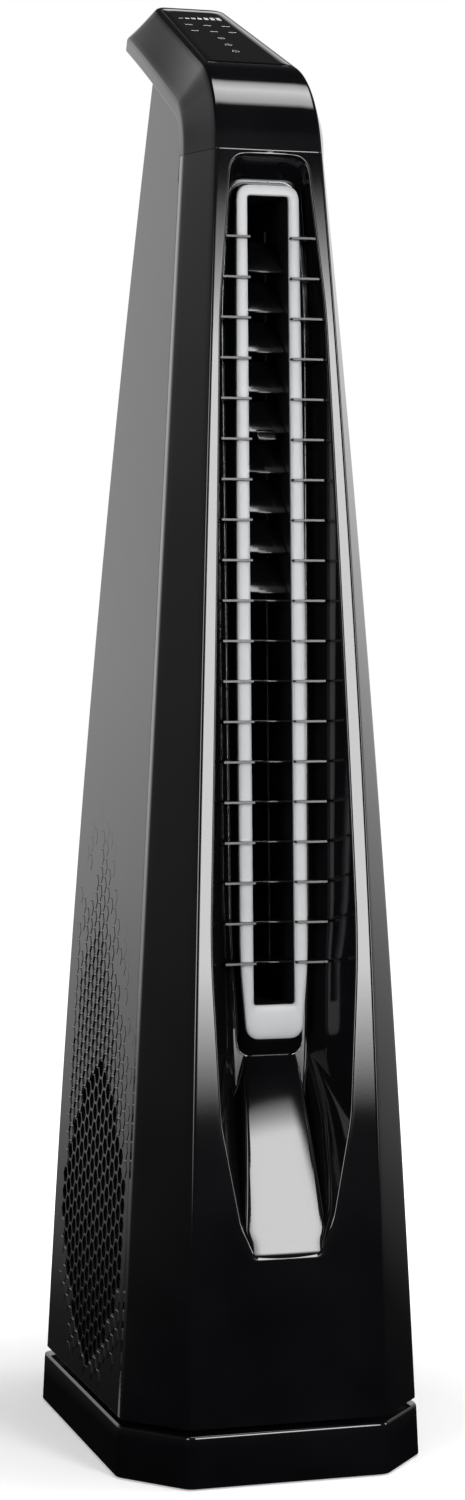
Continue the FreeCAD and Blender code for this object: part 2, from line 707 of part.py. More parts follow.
swivel_motor = new_body("swivel_motor")
sketch = new_sketch(swivel_motor, "motor_case", "XY_Plane", "dims.towerLow + 0.2 + dims.panThick")
add_circle(sketch, "dims.gearModule * (dims.ringTeeth + dims.pinionTeeth) / 2", "0", "15")
pad(swivel_motor, sketch, "motor_can", "18")
sketch = new_sketch(swivel_motor, "motor_ears", "XY_Plane", "dims.towerLow + 0.2 + dims.panThick")
add_rectangle(sketch, "dims.gearModule * (dims.ringTeeth + dims.pinionTeeth) / 2 - 4", "-22",
              "dims.gearModule * (dims.ringTeeth + dims.pinionTeeth) / 2 + 4", "22")
pad(swivel_motor, sketch, "motor_ear", "1.5")
sketch = new_sketch(swivel_motor, "motor_bore", "XY_Plane", "dims.towerLow")
add_circle(sketch, "dims.gearModule * (dims.ringTeeth + dims.pinionTeeth) / 2", "0",
           "2 + dims.runningFit")
pocket(swivel_motor, sketch, "motor_bearing", "14", reverse=True)

pinion_shaft = primitive("Cylinder", "pinion_shaft", Placement(), Radius="2", Height="15")
pinion_shaft.setExpression("Placement.Base.x", "dims.gearModule * (dims.ringTeeth + dims.pinionTeeth) / 2")
pinion_shaft.setExpression("Placement.Base.z", "dims.plinthTop + 0.5")
keep(pinion_shaft, "pinion_shaft")

# ================================================================ outlet
cavity = funnel(0.0, 0.0)
bay_hole = bay_block(size("bayHalf") + size("bayWall") + 0.2, size("bayLow") - 3.2,
                     size("bayHigh") + 3.2, 0.0, 80.0)
recess = funnel(2.0, 2.0).cut(cavity).common(hollow).cut(bay_hole)
freeform("outlet_recess", recess)

pod_rise = Part.makeLoft([outline_wire(LOOP, size("loopThick")), outline_wire(POD, size("floorDeep"))],
                         True, True)
bay_outer = bay_block(size("bayHalf") + size("bayWall"), size("bayLow") - 3, size("bayHigh") + 3,
                      size("floorDeep") - 5, size("bayDeep"))
bay_inner = bay_block(size("bayHalf"), size("bayLow"), size("bayHigh"), -20.0, size("bayDeep") + 5)
pod = pod_rise.fuse(bay_outer).cut(bay_inner)
pin_holes = [Part.makeCylinder(size("pinRadius") + size("runningFit"), 60, pivot - FRONT_X * 30, FRONT_X)
             for pivot in pivots]
freeform("outlet_pod", pod.cut(Part.makeCompound(pin_holes)))

freeform("outlet_loop", slab(LOOP, 0.0, size("loopThick")).cut(bay_inner))
trim = slab(POD, size("floorDeep") - 1.4, 1.4, 1.4).cut(slab(POD, size("floorDeep") - 3, 6.0, 0.1))
freeform("trim_ring", trim.cut(pod_rise))


def wall_x(height, depth):
    """X of the funnel wall at a height and a depth behind the silver face."""
    face = front_y(height) - silver_y(height)
    floor = half_width(FLOOR, height)
    mouth = half_width(MOUTH, height)
    return floor + (mouth - floor) * (size("floorDeep") - depth) / (size("floorDeep") - face)


def rib_plate(height, side):
    """One guard rib: a thin plate that stands on the loop and runs out to the funnel wall."""
    front = -size("ribProud")
    back = 13.0
    pod_x = half_width(LOOP, height)
    pod_x += (half_width(POD, height) - pod_x) * back / size("floorDeep")
    outer_front = min(wall_x(height, front) - 0.5, size("ribReach"))
    outer_back = min(wall_x(height, back) - 0.5, size("ribReach"))
    points = [(size("bayHalf"), front), (outer_front, front), (outer_back, back), (pod_x + 0.4, back),
              (half_width(LOOP, height) + 0.4, 0.0), (size("bayHalf"), 0.0)]
    wires = []
    for level in (height - size("ribThick") / 2, height + size("ribThick") / 2):
        corners = [Vector(side * x, silver_y(level) + y, level) for x, y in points]
        wires.append(Part.makePolygon(corners + [corners[0]]))
    return Part.makeLoft(wires, True, True)


freeform("guard_ribs", Part.makeCompound([rib_plate(z, side) for z in rib_heights for side in (-1, 1)]))

# ================================================================ louvre vanes and link bars
upper_count = int(size("upperCount"))
master_upper = 4      # vane 5 from the top carries the upper tab
master_lower = 13     # vane 14 from the top carries the lower tab


def make_vane(index):
    """A flat blade with two pivot pins and a crank pin, built along -Y."""
    label = "vane_%02d" % (index + 1)
    blade = primitive("Box", label + "_blade", Placement(), Length="2 * dims.vaneHalf",
                      Width="dims.vaneReach", Height="dims.vaneThick")
    blade.setExpression("Placement.Base.x", "-dims.vaneHalf")
    blade.setExpression("Placement.Base.y", "-dims.vaneReach")
    blade.setExpression("Placement.Base.z", "-dims.vaneThick / 2")
    hub = primitive("Cylinder", label + "_hub", Placement(Vector(), ALONG_X),
                    Radius="dims.pinRadius + 0.6", Height="2 * dims.vaneHalf")
    hub.setExpression("Placement.Base.x", "-dims.vaneHalf")
    pins = primitive("Cylinder", label + "_pins", Placement(Vector(), ALONG_X),
                     Radius="dims.pinRadius", Height="2 * (dims.bayHalf + dims.pinReach)")
    pins.setExpression("Placement.Base.x", "-dims.bayHalf - dims.pinReach")
    arm = primitive("Box", label + "_arm", Placement(), Length="1.8",
                    Width="dims.crankArm + dims.crankRadius", Height="2.4")
    arm.setExpression("Placement.Base.x", "dims.crankX + 1.2")
    arm.setExpression("Placement.Base.z", "-1.2")
    crank = primitive("Cylinder", label + "_crank", Placement(Vector(), ALONG_X),
                      Radius="dims.crankRadius", Height="4.4")
    crank.setExpression("Placement.Base.x", "dims.crankX - 2")
    crank.setExpression("Placement.Base.y", "dims.crankArm")
    members = [blade, hub, pins, arm, crank]
    if index in (master_upper, master_lower):
        tab = primitive("Box", label + "_tab", Placement(), Length="dims.tabWide",
                        Width="dims.tabReach + 2", Height="dims.vaneThick")
        tab.setExpression("Placement.Base.x", "-dims.tabWide / 2")
        tab.setExpression("Placement.Base.y", "-dims.vaneReach - dims.tabReach")
        tab.setExpression("Placement.Base.z", "-dims.vaneThick / 2")
        members.append(tab)
    vane = fuse(label, members)
    tilt = size("upperTilt") if index < upper_count else 0.0
    vane.Placement = Placement(pivots[index], Rotation(FRONT_X, tilt))
    return keep(vane, label)


for index in range(len(pivots)):
    make_vane(index)


def make_link(label, indices, tilt):
    """A flat bar with one eye for the crank pin of each vane in its group."""
    arm = Rotation(FRONT_X, tilt).multVec(Vector(0, size("crankArm"), 0))
    eyes = [pivots[index] + arm for index in indices]
    link_x = size("crankX")
    half = size("linkThick") / 2
    top = eyes[0] + UP * 4
    low = eyes[-1] - UP * 4
    wide = size("linkWide") / 2 + 0.4
    corners = [Vector(link_x - half, top.y - wide, top.z), Vector(link_x - half, top.y + wide, top.z),
               Vector(link_x - half, low.y + wide, low.z), Vector(link_x - half, low.y - wide, low.z)]
    bar = polygon_face(corners).extrude(FRONT_X * 2 * half)
    radius = size("crankRadius") + size("runningFit")
    holes = [Part.makeCylinder(radius, 10, Vector(link_x - 5, eye.y, eye.z), FRONT_X) for eye in eyes]
    return freeform(label, bar.cut(Part.makeCompound(holes)))


make_link("upper_link", range(upper_count), size("upperTilt"))
make_link("lower_link", range(upper_count, len(pivots)), 0.0)

# ================================================================ shells
wrap_block = band_block(lambda z: -FAR, corner_y, size("seam"))
front_shell = tower_shell.common(wrap_block).cut(cavity)
freeform("front_shell", front_shell)

gap = size("panelGap")
side_block = band_block(lambda z: corner_y(z) + gap, rear_y, tower_high + 1)
rear_block = band_block(lambda z: rear_y(z) + gap, lambda z: FAR, tower_high + 1)
right_half = Part.makeBox(FAR, 2 * FAR, 4 * FAR, Vector(0, -FAR, -FAR))
left_half = Part.makeBox(FAR, 2 * FAR, 4 * FAR, Vector(-FAR, -FAR, -FAR))


def above_hood():
    """Everything above a line just below the hood, so that the panels end under it."""
    line = []
    for along in hood_stations(-HOOD_LEAD, hood_length()):
        low = hood_section(along)[3][1]
        line.append(hood_point(along, -FAR / 2, low + gap))
    ahead = Vector(-FAR / 2, -FAR, line[0].z)
    above = [Vector(-FAR / 2, FAR, line[-1].z), Vector(-FAR / 2, FAR, 4 * FAR),
             Vector(-FAR / 2, -FAR, 4 * FAR)]
    return polygon_face([ahead] + line + above).extrude(FRONT_X * FAR)


under_hood = tower_shell.cut(above_hood())


def cell_centres():
    """Centres (y, z) of the open cells: a honeycomb trimmed to a leaf-shaped patch."""
    pitch = size("cellPitch")
    column_step = pitch * math.sqrt(3) / 2
    columns = int(size("cellHalfDeep") / column_step)
    rows = int(size("cellHalfHigh") / pitch) + 1
    centres = []
    for column in range(-columns, columns + 1):
        shift = pitch / 2 if column % 2 else 0.0
        for row in range(-rows, rows + 1):
            y = column * column_step
            z = row * pitch + shift
            across = abs(y) / size("cellHalfDeep")
            along = abs(z) / size("cellHalfHigh")
            place = (y + size("cellMiddleY"), z + size("cellMiddleZ"))
            front = corner_y(place[1]) + pitch
            rear = rear_y(place[1]) - pitch
            if across ** 1.45 + along ** 1.45 <= 1.0 and front < place[0] < rear:
                centres.append(place)
    return centres


def cell_tools():
    """Six-sided prisms along X, flat sides up and down."""
    radius = (size("cellPitch") - size("cellWeb")) / math.sqrt(3)
    tools = []
    for y, z in cell_centres():
        corners = [Vector(-FAR / 2, y + radius * math.cos(math.radians(60 * k)),
                          z + radius * math.sin(math.radians(60 * k))) for k in range(6)]
        tools.append(polygon_face(corners).extrude(FRONT_X * FAR))
    return Part.makeCompound(tools)


cells = cell_tools()
side_band = under_hood.common(side_block).cut(cells)
freeform("left_side_panel", side_band.common(left_half))
freeform("right_side_panel", side_band.common(right_half))
freeform("rear_panel", under_hood.common(rear_block))

# ================================================================ hood and controls
glass_low = size("glassStart")
glass_high = hood_line()[5] - size("glassMargin")


def glass_prism(grow, top, deep):
    """A rounded plate lying in the hood's slope, as tapered as the hood."""
    low_half = top_half(glass_low) - size("glassInset") + grow
    high_half = top_half(glass_high) - size("glassInset") + grow
    corners = [(-low_half, glass_low - grow), (low_half, glass_low - grow),
               (high_half, glass_high + grow), (-high_half, glass_high + grow)]
    wire = rounded_wire(corners, [3, 3, 9, 9], lambda x, y: Vector(x, y, top))
    return Part.Face(wire).extrude(-UP * deep)


frame = slope_frame()
pocket_tool = glass_prism(0.15, 2.0, 2.0 + size("glassThick") + size("glassSunk"))
pocket_tool.Placement = frame
backing = glass_prism(2.0, -0.5, size("glassThick") + size("wall"))
backing.Placement = frame
hood = hood_solid.cut(hood_hollow).fuse(backing.common(hood_solid)).cut(pocket_tool)
freeform("hood", hood)

glass = doc.addObject("Part::Feature", "control_glass")
glass.Shape = glass_prism(0.0, -size("glassSunk"), size("glassThick"))
glass.Placement = frame
keep(glass, "control_glass")

board = primitive("Box", "control_board", Placement(), Length="52", Width="120", Height="1.6")
board.Placement = frame.multiply(Placement(Vector(-26, 30, -14), Rotation()))
keep(board, "control_board")

# ================================================================ air duct and blower
DUCT_LOW = size("throatTop")
DUCT_HIGH = size("bayHigh") + 8.0


def duct_section(height, inset):
    """Half width shrinks upward; the front follows the bay, the rear leans forward."""
    part = (height - DUCT_LOW) / (DUCT_HIGH - DUCT_LOW)
    half = 44.0 + (21.5 - 44.0) * part - inset
    front = silver_y(height) + size("bayDeep") + 0.2 + inset
    rear = 44.0 + (6.0 - 44.0) * part - inset
    return [(-half, front), (half, front), (half, rear), (-half, rear)]


duct_outer = loft_sections(lambda z: duct_section(z, 0.0), DUCT_LOW, DUCT_HIGH, 2)
duct_inner = loft_sections(lambda z: duct_section(z, 2.0), DUCT_LOW - 1, DUCT_HIGH - 2, 2)
freeform("air_duct", duct_outer.cut(duct_inner).cut(bay_block(
    size("bayHalf"), size("bayLow"), size("bayHigh"), 40.0, size("bayDeep") + 8)))

drum = primitive("Cylinder", "scroll_drum", Placement(Vector(), ALONG_X), Radius="dims.scrollRadius",
                 Height="2 * dims.scrollHalf")
drum_room = primitive("Cylinder", "scroll_room", Placement(Vector(), ALONG_X),
                      Radius="dims.scrollRadius - dims.wall", Height="2 * (dims.scrollHalf - dims.wall)")
for feature, half in ((drum, "dims.scrollHalf"), (drum_room, "(dims.scrollHalf - dims.wall)")):
    feature.setExpression("Placement.Base.x", "-" + half)
    feature.setExpression("Placement.Base.y", "dims.blowerY - dims.scrollShift")
    feature.setExpression("Placement.Base.z", "dims.blowerZ")
throat = primitive("Box", "scroll_throat", Placement(), Length="2 * 44", Width="108",
                   Height="dims.throatTop - dims.blowerZ")
throat.setExpression("Placement.Base.x", "-44")
throat.setExpression("Placement.Base.y", "dims.silverFace + dims.slopeSilver * dims.throatTop"
                     " + dims.bayDeep + 0.2")
throat.setExpression("Placement.Base.z", "dims.blowerZ - 0.3")
throat_room = primitive("Box", "throat_room", Placement(), Length="2 * 44 - 5", Width="103",
                        Height="dims.throatTop - dims.blowerZ + 5")
throat_room.setExpression("Placement.Base.x", "-44 + 2.5")
throat_room.setExpression("Placement.Base.y", "dims.silverFace + dims.slopeSilver * dims.throatTop"
                          " + dims.bayDeep + 2.7")
throat_room.setExpression("Placement.Base.z", "dims.blowerZ")
inlets = primitive("Cylinder", "scroll_inlets", Placement(Vector(), ALONG_X), Radius="dims.inletRadius",
                   Height="2 * dims.scrollHalf + 10")
inlets.setExpression("Placement.Base.x", "-dims.scrollHalf - 5")
inlets.setExpression("Placement.Base.y", "dims.blowerY")
inlets.setExpression("Placement.Base.z", "dims.blowerZ")
scroll = cut("scroll_cut", fuse("scroll_outer", [drum, throat]),
             fuse("scroll_inner", [drum_room, throat_room, inlets]))
keep(scroll, "blower_scroll")

wheel = new_body("impeller")
sketch = new_sketch(wheel, "hub_disc", "YZ_Plane")
add_circle(sketch, "0", "0", "dims.wheelRadius")
pad(wheel, sketch, "disc", "2", middle=True)
sketch = new_sketch(wheel, "hub_boss", "YZ_Plane")
add_circle(sketch, "0", "0", "dims.shaftRadius + 5")
pad(wheel, sketch, "boss", "24", middle=True)
for name, offset in (("left_ring", "-dims.wheelHalf"), ("right_ring", "dims.wheelHalf - 3")):
    sketch = new_sketch(wheel, name, "YZ_Plane", offset)
    add_circle(sketch, "0", "0", "dims.wheelRadius")
    add_circle(sketch, "0", "0", "dims.wheelRadius - dims.bladeDeep * 0.5")
    if name == "left_ring":
        first_ring = sketch
    else:
        second_ring = sketch
sketch = new_sketch(wheel, "blade_outline", "YZ_Plane")
add_rectangle(sketch, "-dims.bladeThick / 2", "dims.wheelRadius - dims.bladeDeep", "dims.bladeThick / 2",
              "dims.wheelRadius - 0.5")
blade = pad(wheel, sketch, "blade", "2 * dims.wheelHalf", middle=True)
blades = wheel.newObject("PartDesign::PolarPattern", "blades")
blades.Originals = [blade]
blades.Axis = (first_ring, ["N_Axis"])
blades.Angle = 360.0
blades.setExpression("Occurrences", "dims.bladeCount")
wheel.Tip = blades
doc.recompute()
pad(wheel, first_ring, "ring_left", "3")
pad(wheel, second_ring, "ring_right", "3")
sketch = new_sketch(wheel, "hub_bore", "YZ_Plane")
add_circle(sketch, "0", "0", "dims.shaftRadius")
pocket(wheel, sketch, "bore", "60", middle=True)
wheel.setExpression("Placement.Base.y", "dims.blowerY")
wheel.setExpression("Placement.Base.z", "dims.blowerZ")

shaft = primitive("Cylinder", "motor_shaft", Placement(Vector(), ALONG_X), Radius="dims.shaftRadius",
                  Height="dims.motorStart + dims.motorLong - 6 + 14")
shaft.setExpression("Placement.Base.x", "-14")
shaft.setExpression("Placement.Base.y", "dims.blowerY")
shaft.setExpression("Placement.Base.z", "dims.blowerZ")
keep(shaft, "motor_shaft")

motor = new_body("fan_motor")
sketch = new_sketch(motor, "motor_outline", "YZ_Plane", "dims.motorStart")
add_circle(sketch, "0", "0", "dims.motorRadius")
pad(motor, sketch, "can", "dims.motorLong")
sketch = new_sketch(motor, "motor_nose", "YZ_Plane", "dims.motorStart - 6")
add_circle(sketch, "0", "0", "15")
pad(motor, sketch, "nose", "7")
sketch = new_sketch(motor, "motor_well", "YZ_Plane", "dims.motorStart - 6")
add_circle(sketch, "0", "0", "11")
pocket(motor, sketch, "well", "dims.motorLong + 3", reverse=True)
motor.setExpression("Placement.Base.y", "dims.blowerY")
motor.setExpression("Placement.Base.z", "dims.blowerZ")

bearings = []
for name, start in (("bearing_near", "dims.motorStart - 5"), ("bearing_far", "dims.motorStart + 18")):
    race = primitive("Cylinder", name + "_race", Placement(Vector(), ALONG_X), Radius="11", Height="7")
    bore = primitive("Cylinder", name + "_bore", Placement(Vector(), ALONG_X),
                     Radius="dims.shaftRadius + dims.runningFit", Height="9")
    for feature, shift in ((race, ""), (bore, " - 1")):
        feature.setExpression("Placement.Base.x", start + shift)
        feature.setExpression("Placement.Base.y", "dims.blowerY")
        feature.setExpression("Placement.Base.z", "dims.blowerZ")
    bearings.append(cut(name, race, bore))
group("motor_bearings", bearings)

bracket = new_body("motor_bracket")
sketch = new_sketch(bracket, "bracket_bar", "YZ_Plane", "dims.motorStart + dims.motorLong")
add_rectangle(sketch, "-9", "-74", "9", "74")
pad(bracket, sketch, "bar", "2.5")
for name, low in (("foot_low", "-74"), ("foot_high", "70")):
    sketch = new_sketch(bracket, name, "YZ_Plane", "dims.scrollHalf")
    add_rectangle(sketch, "-9", low, "9", low + " + 4")
    pad(bracket, sketch, name + "_leg", "dims.motorStart + dims.motorLong - dims.scrollHalf + 0.5")
bracket.setExpression("Placement.Base.y", "dims.blowerY")
bracket.setExpression("Placement.Base.z", "dims.blowerZ")

# ================================================================ filters, power board, screws
FILTER_LOW = 70.0
FILTER_LONG = 265.0
FILTER_DEEP = 200.0
FILTER_THICK = 5.0


def filter_lean():
    """The lean of the side panels between the ends of the filters."""
    low = tower_outline(FILTER_LOW)[2][0]
    high = tower_outline(FILTER_LOW + FILTER_LONG)[2][0]
    return math.degrees(math.atan2(low - high, FILTER_LONG))


for label, side in (("filter_left", -1), ("filter_right", 1)):
    screen = new_body(label)
    sketch = new_sketch(screen, label + "_frame", "YZ_Plane")
    add_rectangle(sketch, "-%g" % (FILTER_DEEP / 2), "0", "%g" % (FILTER_DEEP / 2), "%g" % FILTER_LONG)
    pad(screen, sketch, label + "_pad", "%g" % FILTER_THICK, reverse=side < 0)
    for row in range(3):
        for column in range(3):
            sketch = new_sketch(screen, "%s_window_%d%d" % (label, row, column), "YZ_Plane")
            wide = (FILTER_DEEP - 8.0) / 3
            tall = (FILTER_LONG - 8.0) / 3
            left = -FILTER_DEEP / 2 + 6 + column * wide
            low = 6 + row * tall
            add_rectangle(sketch, "%g" % left, "%g" % low, "%g" % (left + wide - 4),
                          "%g" % (low + tall - 4))
            pocket(screen, sketch, "%s_mesh_%d%d" % (label, row, column), "1.5", reverse=side > 0)
    inner = tower_outline(FILTER_LOW)[2][0] - size("wall") - 1.5 - FILTER_THICK
    screen.Placement = Placement(Vector(side * inner, 12, FILTER_LOW), Rotation(BACK, -side * filter_lean()))

power = primitive("Box", "power_board", Placement(), Length="80", Width="1.6", Height="110")
power.setExpression("Placement.Base.x", "-40")
power.setExpression("Placement.Base.y", "100")
power.setExpression("Placement.Base.z", "380")
keep(power, "power_board")

rear_screws = []
SCREW_HEIGHTS = (80.0, 420.0, 780.0)
for height in SCREW_HEIGHTS:
    for side in (-1, 1):
        reach = tower_outline(height)[3][0] - 22.0
        back = tower_outline(height)[4][1] - size("wall")
        name = "rear_screw_%d" % (len(rear_screws) + 1)
        post = primitive("Cylinder", name, Placement(Vector(side * reach, back - 14, height), ALONG_Y),
                         Radius="3", Height="13.7")
        rear_screws.append(post)
group("rear_screws", rear_screws)

# ================================================================ check and write
doc.recompute()
for feature in doc.Objects:
    if "Invalid" in feature.State or "Error" in feature.State:
        raise ValueError("%s failed: %s" % (feature.Label, feature.State))
for feature in sub_parts:
    if feature.Shape.isNull() or not feature.Shape.isValid():
        raise ValueError("%s has no valid shape" % feature.Label)

os.makedirs("parts", exist_ok=True)
for feature in sub_parts:
    feature.Shape.exportStep("parts/%s.step" % feature.Label)
    box = feature.Shape.BoundBox
    print("%-18s solids %2d volume %10.1f  x %.1f..%.1f y %.1f..%.1f z %.1f..%.1f" % (
        feature.Label, len(feature.Shape.Solids), feature.Shape.Volume,
        box.XMin, box.XMax, box.YMin, box.YMax, box.ZMin, box.ZMax))
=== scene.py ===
import json
import math

import bmesh
import bpy
import numpy as np
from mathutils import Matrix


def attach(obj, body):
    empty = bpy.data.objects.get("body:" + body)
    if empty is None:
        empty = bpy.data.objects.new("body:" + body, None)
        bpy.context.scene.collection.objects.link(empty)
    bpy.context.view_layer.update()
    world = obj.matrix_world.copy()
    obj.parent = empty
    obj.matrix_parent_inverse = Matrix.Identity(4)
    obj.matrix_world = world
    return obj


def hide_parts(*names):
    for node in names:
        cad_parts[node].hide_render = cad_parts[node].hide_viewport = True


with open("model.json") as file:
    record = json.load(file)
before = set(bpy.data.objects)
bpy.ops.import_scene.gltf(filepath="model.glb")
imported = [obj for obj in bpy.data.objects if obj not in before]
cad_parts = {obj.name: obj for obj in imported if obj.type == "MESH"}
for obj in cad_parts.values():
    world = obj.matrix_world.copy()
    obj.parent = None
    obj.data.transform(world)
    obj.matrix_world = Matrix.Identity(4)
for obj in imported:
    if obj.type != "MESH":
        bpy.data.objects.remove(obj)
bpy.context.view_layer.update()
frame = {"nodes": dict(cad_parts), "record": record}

scene = bpy.context.scene
mm = 0.001

# camera and view
view = {"place": (-0.7302, -2.4853, 0.6824), "down": 2.290, "turn": -16.379, "lens": 74.13, "sensor": 36.0}
cameraData = bpy.data.cameras.new("camera")
cameraData.lens = view["lens"]
cameraData.sensor_width = view["sensor"]
cameraData.sensor_fit = "AUTO"
camera = bpy.data.objects.new("camera", cameraData)
camera.location = view["place"]
camera.rotation_euler = (math.radians(90 - view["down"]), 0.0, math.radians(view["turn"]))
scene.collection.objects.link(camera)
scene.camera = camera
scene.view_settings.view_transform = "Standard"
print("camera placed")


# sRGB hex to linear colour
def linear(code):
    parts = np.array([int(code[k:k + 2], 16) for k in (1, 3, 5)]) / 255.0
    low = parts / 12.92
    high = ((parts + 0.055) / 1.055) ** 2.4
    return tuple(np.where(parts <= 0.04045, low, high)) + (1.0,)


# one node with its settings, its inputs (a socket is linked, a value is set) and a colour ramp's stops
def addNode(tree, kind, settings=None, inputs=None, stops=None):
    node = tree.nodes.new("ShaderNode" + kind)
    for name, value in (settings or {}).items():
        setattr(node, name, value)
    for name, value in (inputs or {}).items():
        if isinstance(value, bpy.types.NodeSocket):
            tree.links.new(value, node.inputs[name])
        else:
            node.inputs[name].default_value = value
    if stops:
        points = node.color_ramp.elements
        points[0].position, points[0].color = stops[0][0], linear(stops[0][1])
        points[1].position, points[1].color = stops[-1][0], linear(stops[-1][1])
        for place, code in stops[1:-1]:
            points.new(place).color = linear(code)
    return node


# a moulded, painted or plated surface: two colours mottled by noise, uneven gloss, fine relief
def surface(name, look):
    made = bpy.data.materials.new(name)
    made.use_nodes = True
    tree = made.node_tree
    shader = tree.nodes["Principled BSDF"]
    shader.inputs["Metallic"].default_value = look.get("metallic", 0.0)
    if "ior" in look:
        shader.inputs["IOR"].default_value = look["ior"]
    if "coat" in look:
        shader.inputs["Coat Weight"].default_value = look["coat"]
        shader.inputs["Coat Roughness"].default_value = look["coatRough"]
    place = addNode(tree, "TexCoord").outputs["Object"]
    stretch = addNode(tree, "Mapping", inputs={"Vector": place, "Scale": look.get("stretch", (1, 1, 1))})
    spot = stretch.outputs["Vector"]
    broad = addNode(tree, "TexNoise", inputs={"Vector": spot, "Scale": 1 / (look["mottle"] * mm),
                                              "Detail": 3.0})
    fine = addNode(tree, "TexNoise", inputs={"Vector": spot, "Scale": 1 / (look["grain"] * mm),
                                             "Detail": 2.0})
    colour = addNode(tree, "ValToRGB", inputs={"Fac": broad.outputs["Fac"]},
                     stops=[(0.3, look["dark"]), (0.7, look["light"])])
    tree.links.new(colour.outputs["Color"], shader.inputs["Base Color"])
    gloss = addNode(tree, "MapRange", inputs={"Value": broad.outputs["Fac"], "To Min": look["rough"][0],
                                              "To Max": look["rough"][1]})
    tree.links.new(gloss.outputs["Result"], shader.inputs["Roughness"])
    relief = addNode(tree, "Bump", inputs={"Height": fine.outputs["Fac"], "Strength": look["relief"],
                                           "Distance": look["height"] * mm})
    if "edge" in look:
        worn = addNode(tree, "Bevel", {"samples": 4}, {"Radius": look["edge"] * mm})
        tree.links.new(worn.outputs["Normal"], relief.inputs["Normal"])
    tree.links.new(relief.outputs["Normal"], shader.inputs["Normal"])
    return made


# gloss moulded ABS: nearly black, a faint unevenness in the polish keeps its reflections from being perfect
glossBlack = surface("gloss_abs_moulded", {
    "dark": "#08080a", "light": "#0d0d0f", "rough": (0.045, 0.085), "mottle": 60, "grain": 2.5,
    "relief": 0.05, "height": 0.05, "ior": 1.5})
# the same plastic on thin parts: their softened edges catch a line of light
glossThin = surface("gloss_abs_thin_edges", {
    "dark": "#08080a", "light": "#0e0e10", "rough": (0.09, 0.15), "mottle": 40, "grain": 2.0,
    "relief": 0.05, "height": 0.05, "ior": 1.5, "edge": 0.7})
# guard ribs: the same plastic from a satin tool, so their front edges stay grey
satinRib = surface("satin_abs_ribs", {
    "dark": "#0a0a0b", "light": "#101012", "rough": (0.30, 0.36), "mottle": 40, "grain": 2.0,
    "relief": 0.05, "height": 0.05, "ior": 1.5, "edge": 0.4})
# side panels: gloss ABS whose cell edges are softened
glossPanel = surface("gloss_abs_panel", {
    "dark": "#08080a", "light": "#0c0c0e", "rough": (0.06, 0.11), "mottle": 80, "grain": 2.5,
    "relief": 0.05, "height": 0.05, "ior": 1.5, "edge": 0.5})
# silver paint on ABS: fine flakes give a soft sheen without mirror images
satinSilver = surface("silver_paint_sprayed", {
    "dark": "#a6a8aa", "light": "#acaeb0", "rough": (0.38, 0.43), "mottle": 30, "grain": 0.35,
    "relief": 0.05, "height": 0.02, "ior": 1.5, "coat": 0.15, "coatRough": 0.25})
# chrome plating on ABS: a bright line round the pod
chromeTrim = surface("chrome_plated", {
    "dark": "#7c7e80", "light": "#86888a", "rough": (0.2, 0.26), "mottle": 25, "grain": 1.0,
    "relief": 0.04, "height": 0.02, "metallic": 1.0})
# tempered glass painted black behind: flat and sharper than the plastic round it
blackGlass = surface("glass_back_painted", {
    "dark": "#050506", "light": "#070708", "rough": (0.02, 0.04), "mottle": 90, "grain": 8.0,
    "relief": 0.02, "height": 0.02, "ior": 1.52})
# satin moulded plastic inside: dull enough that the openings read as deep
innerBlack = surface("satin_abs_inner", {
    "dark": "#060607", "light": "#0a0a0b", "rough": (0.38, 0.5), "mottle": 30, "grain": 1.2,
    "relief": 0.2, "height": 0.06, "ior": 1.5})
# zinc-plated steel: slightly cloudy
zincSteel = surface("steel_zinc_plated", {
    "dark": "#8b8e90", "light": "#a6a9ab", "rough": (0.28, 0.42), "mottle": 9, "grain": 0.8,
    "relief": 0.15, "height": 0.03, "metallic": 1.0})
# powder coat on the motor's case: a fine pebble
motorPaint = surface("powder_coat_grey", {
    "dark": "#2c2e30", "light": "#383a3c", "rough": (0.45, 0.58), "mottle": 15, "grain": 0.7,
    "relief": 0.4, "height": 0.06, "ior": 1.5})
# moulded rubber: matt, a little dusty
rubberBlack = surface("rubber_moulded", {
    "dark": "#121212", "light": "#1c1c1c", "rough": (0.75, 0.9), "mottle": 10, "grain": 0.5,
    "relief": 0.3, "height": 0.05, "ior": 1.52})
# acetal gears: milky and slightly waxy
gearWhite = surface("acetal_moulded", {
    "dark": "#d6d3c8", "light": "#e4e1d8", "rough": (0.3, 0.4), "mottle": 14, "grain": 1.0,
    "relief": 0.1, "height": 0.03, "ior": 1.48})
# solder mask over glass fibre: the weave shows through faintly
boardGreen = surface("solder_mask_green", {
    "dark": "#0d3a22", "light": "#145232", "rough": (0.25, 0.38), "mottle": 4, "grain": 0.9,
    "relief": 0.25, "height": 0.03, "ior": 1.5})
# nylon mesh: the stretched grain reads as threads
filterNylon = surface("nylon_mesh_woven", {
    "dark": "#141516", "light": "#2c2e30", "rough": (0.55, 0.75), "mottle": 1.6, "grain": 0.6,
    "relief": 0.8, "height": 0.2, "ior": 1.53, "stretch": (1, 1, 3)})
# white ink printed on the glass: thin, slightly uneven and matt beside it
printedInk = surface("ink_screen_printed", {
    "dark": "#b9bbbd", "light": "#d2d4d6", "rough": (0.3, 0.4), "mottle": 3, "grain": 0.4,
    "relief": 0.05, "height": 0.01, "ior": 1.5})
print("materials made")

slotLooks = {
    "gloss_black": glossBlack, "satin_silver": satinSilver, "chrome_trim": chromeTrim,
    "black_glass": blackGlass, "inner_black": innerBlack, "steel": zincSteel, "motor_case": motorPaint,
    "rubber": rubberBlack, "gear_white": gearWhite, "circuit_board": boardGreen,
    "filter_mesh": filterNylon}


# index pairs along one row of a grid, with the last joined to the first for a closed loop
def ring(row, loop):
    here = np.arange(row if loop else row - 1)
    return here, (here + 1) % row


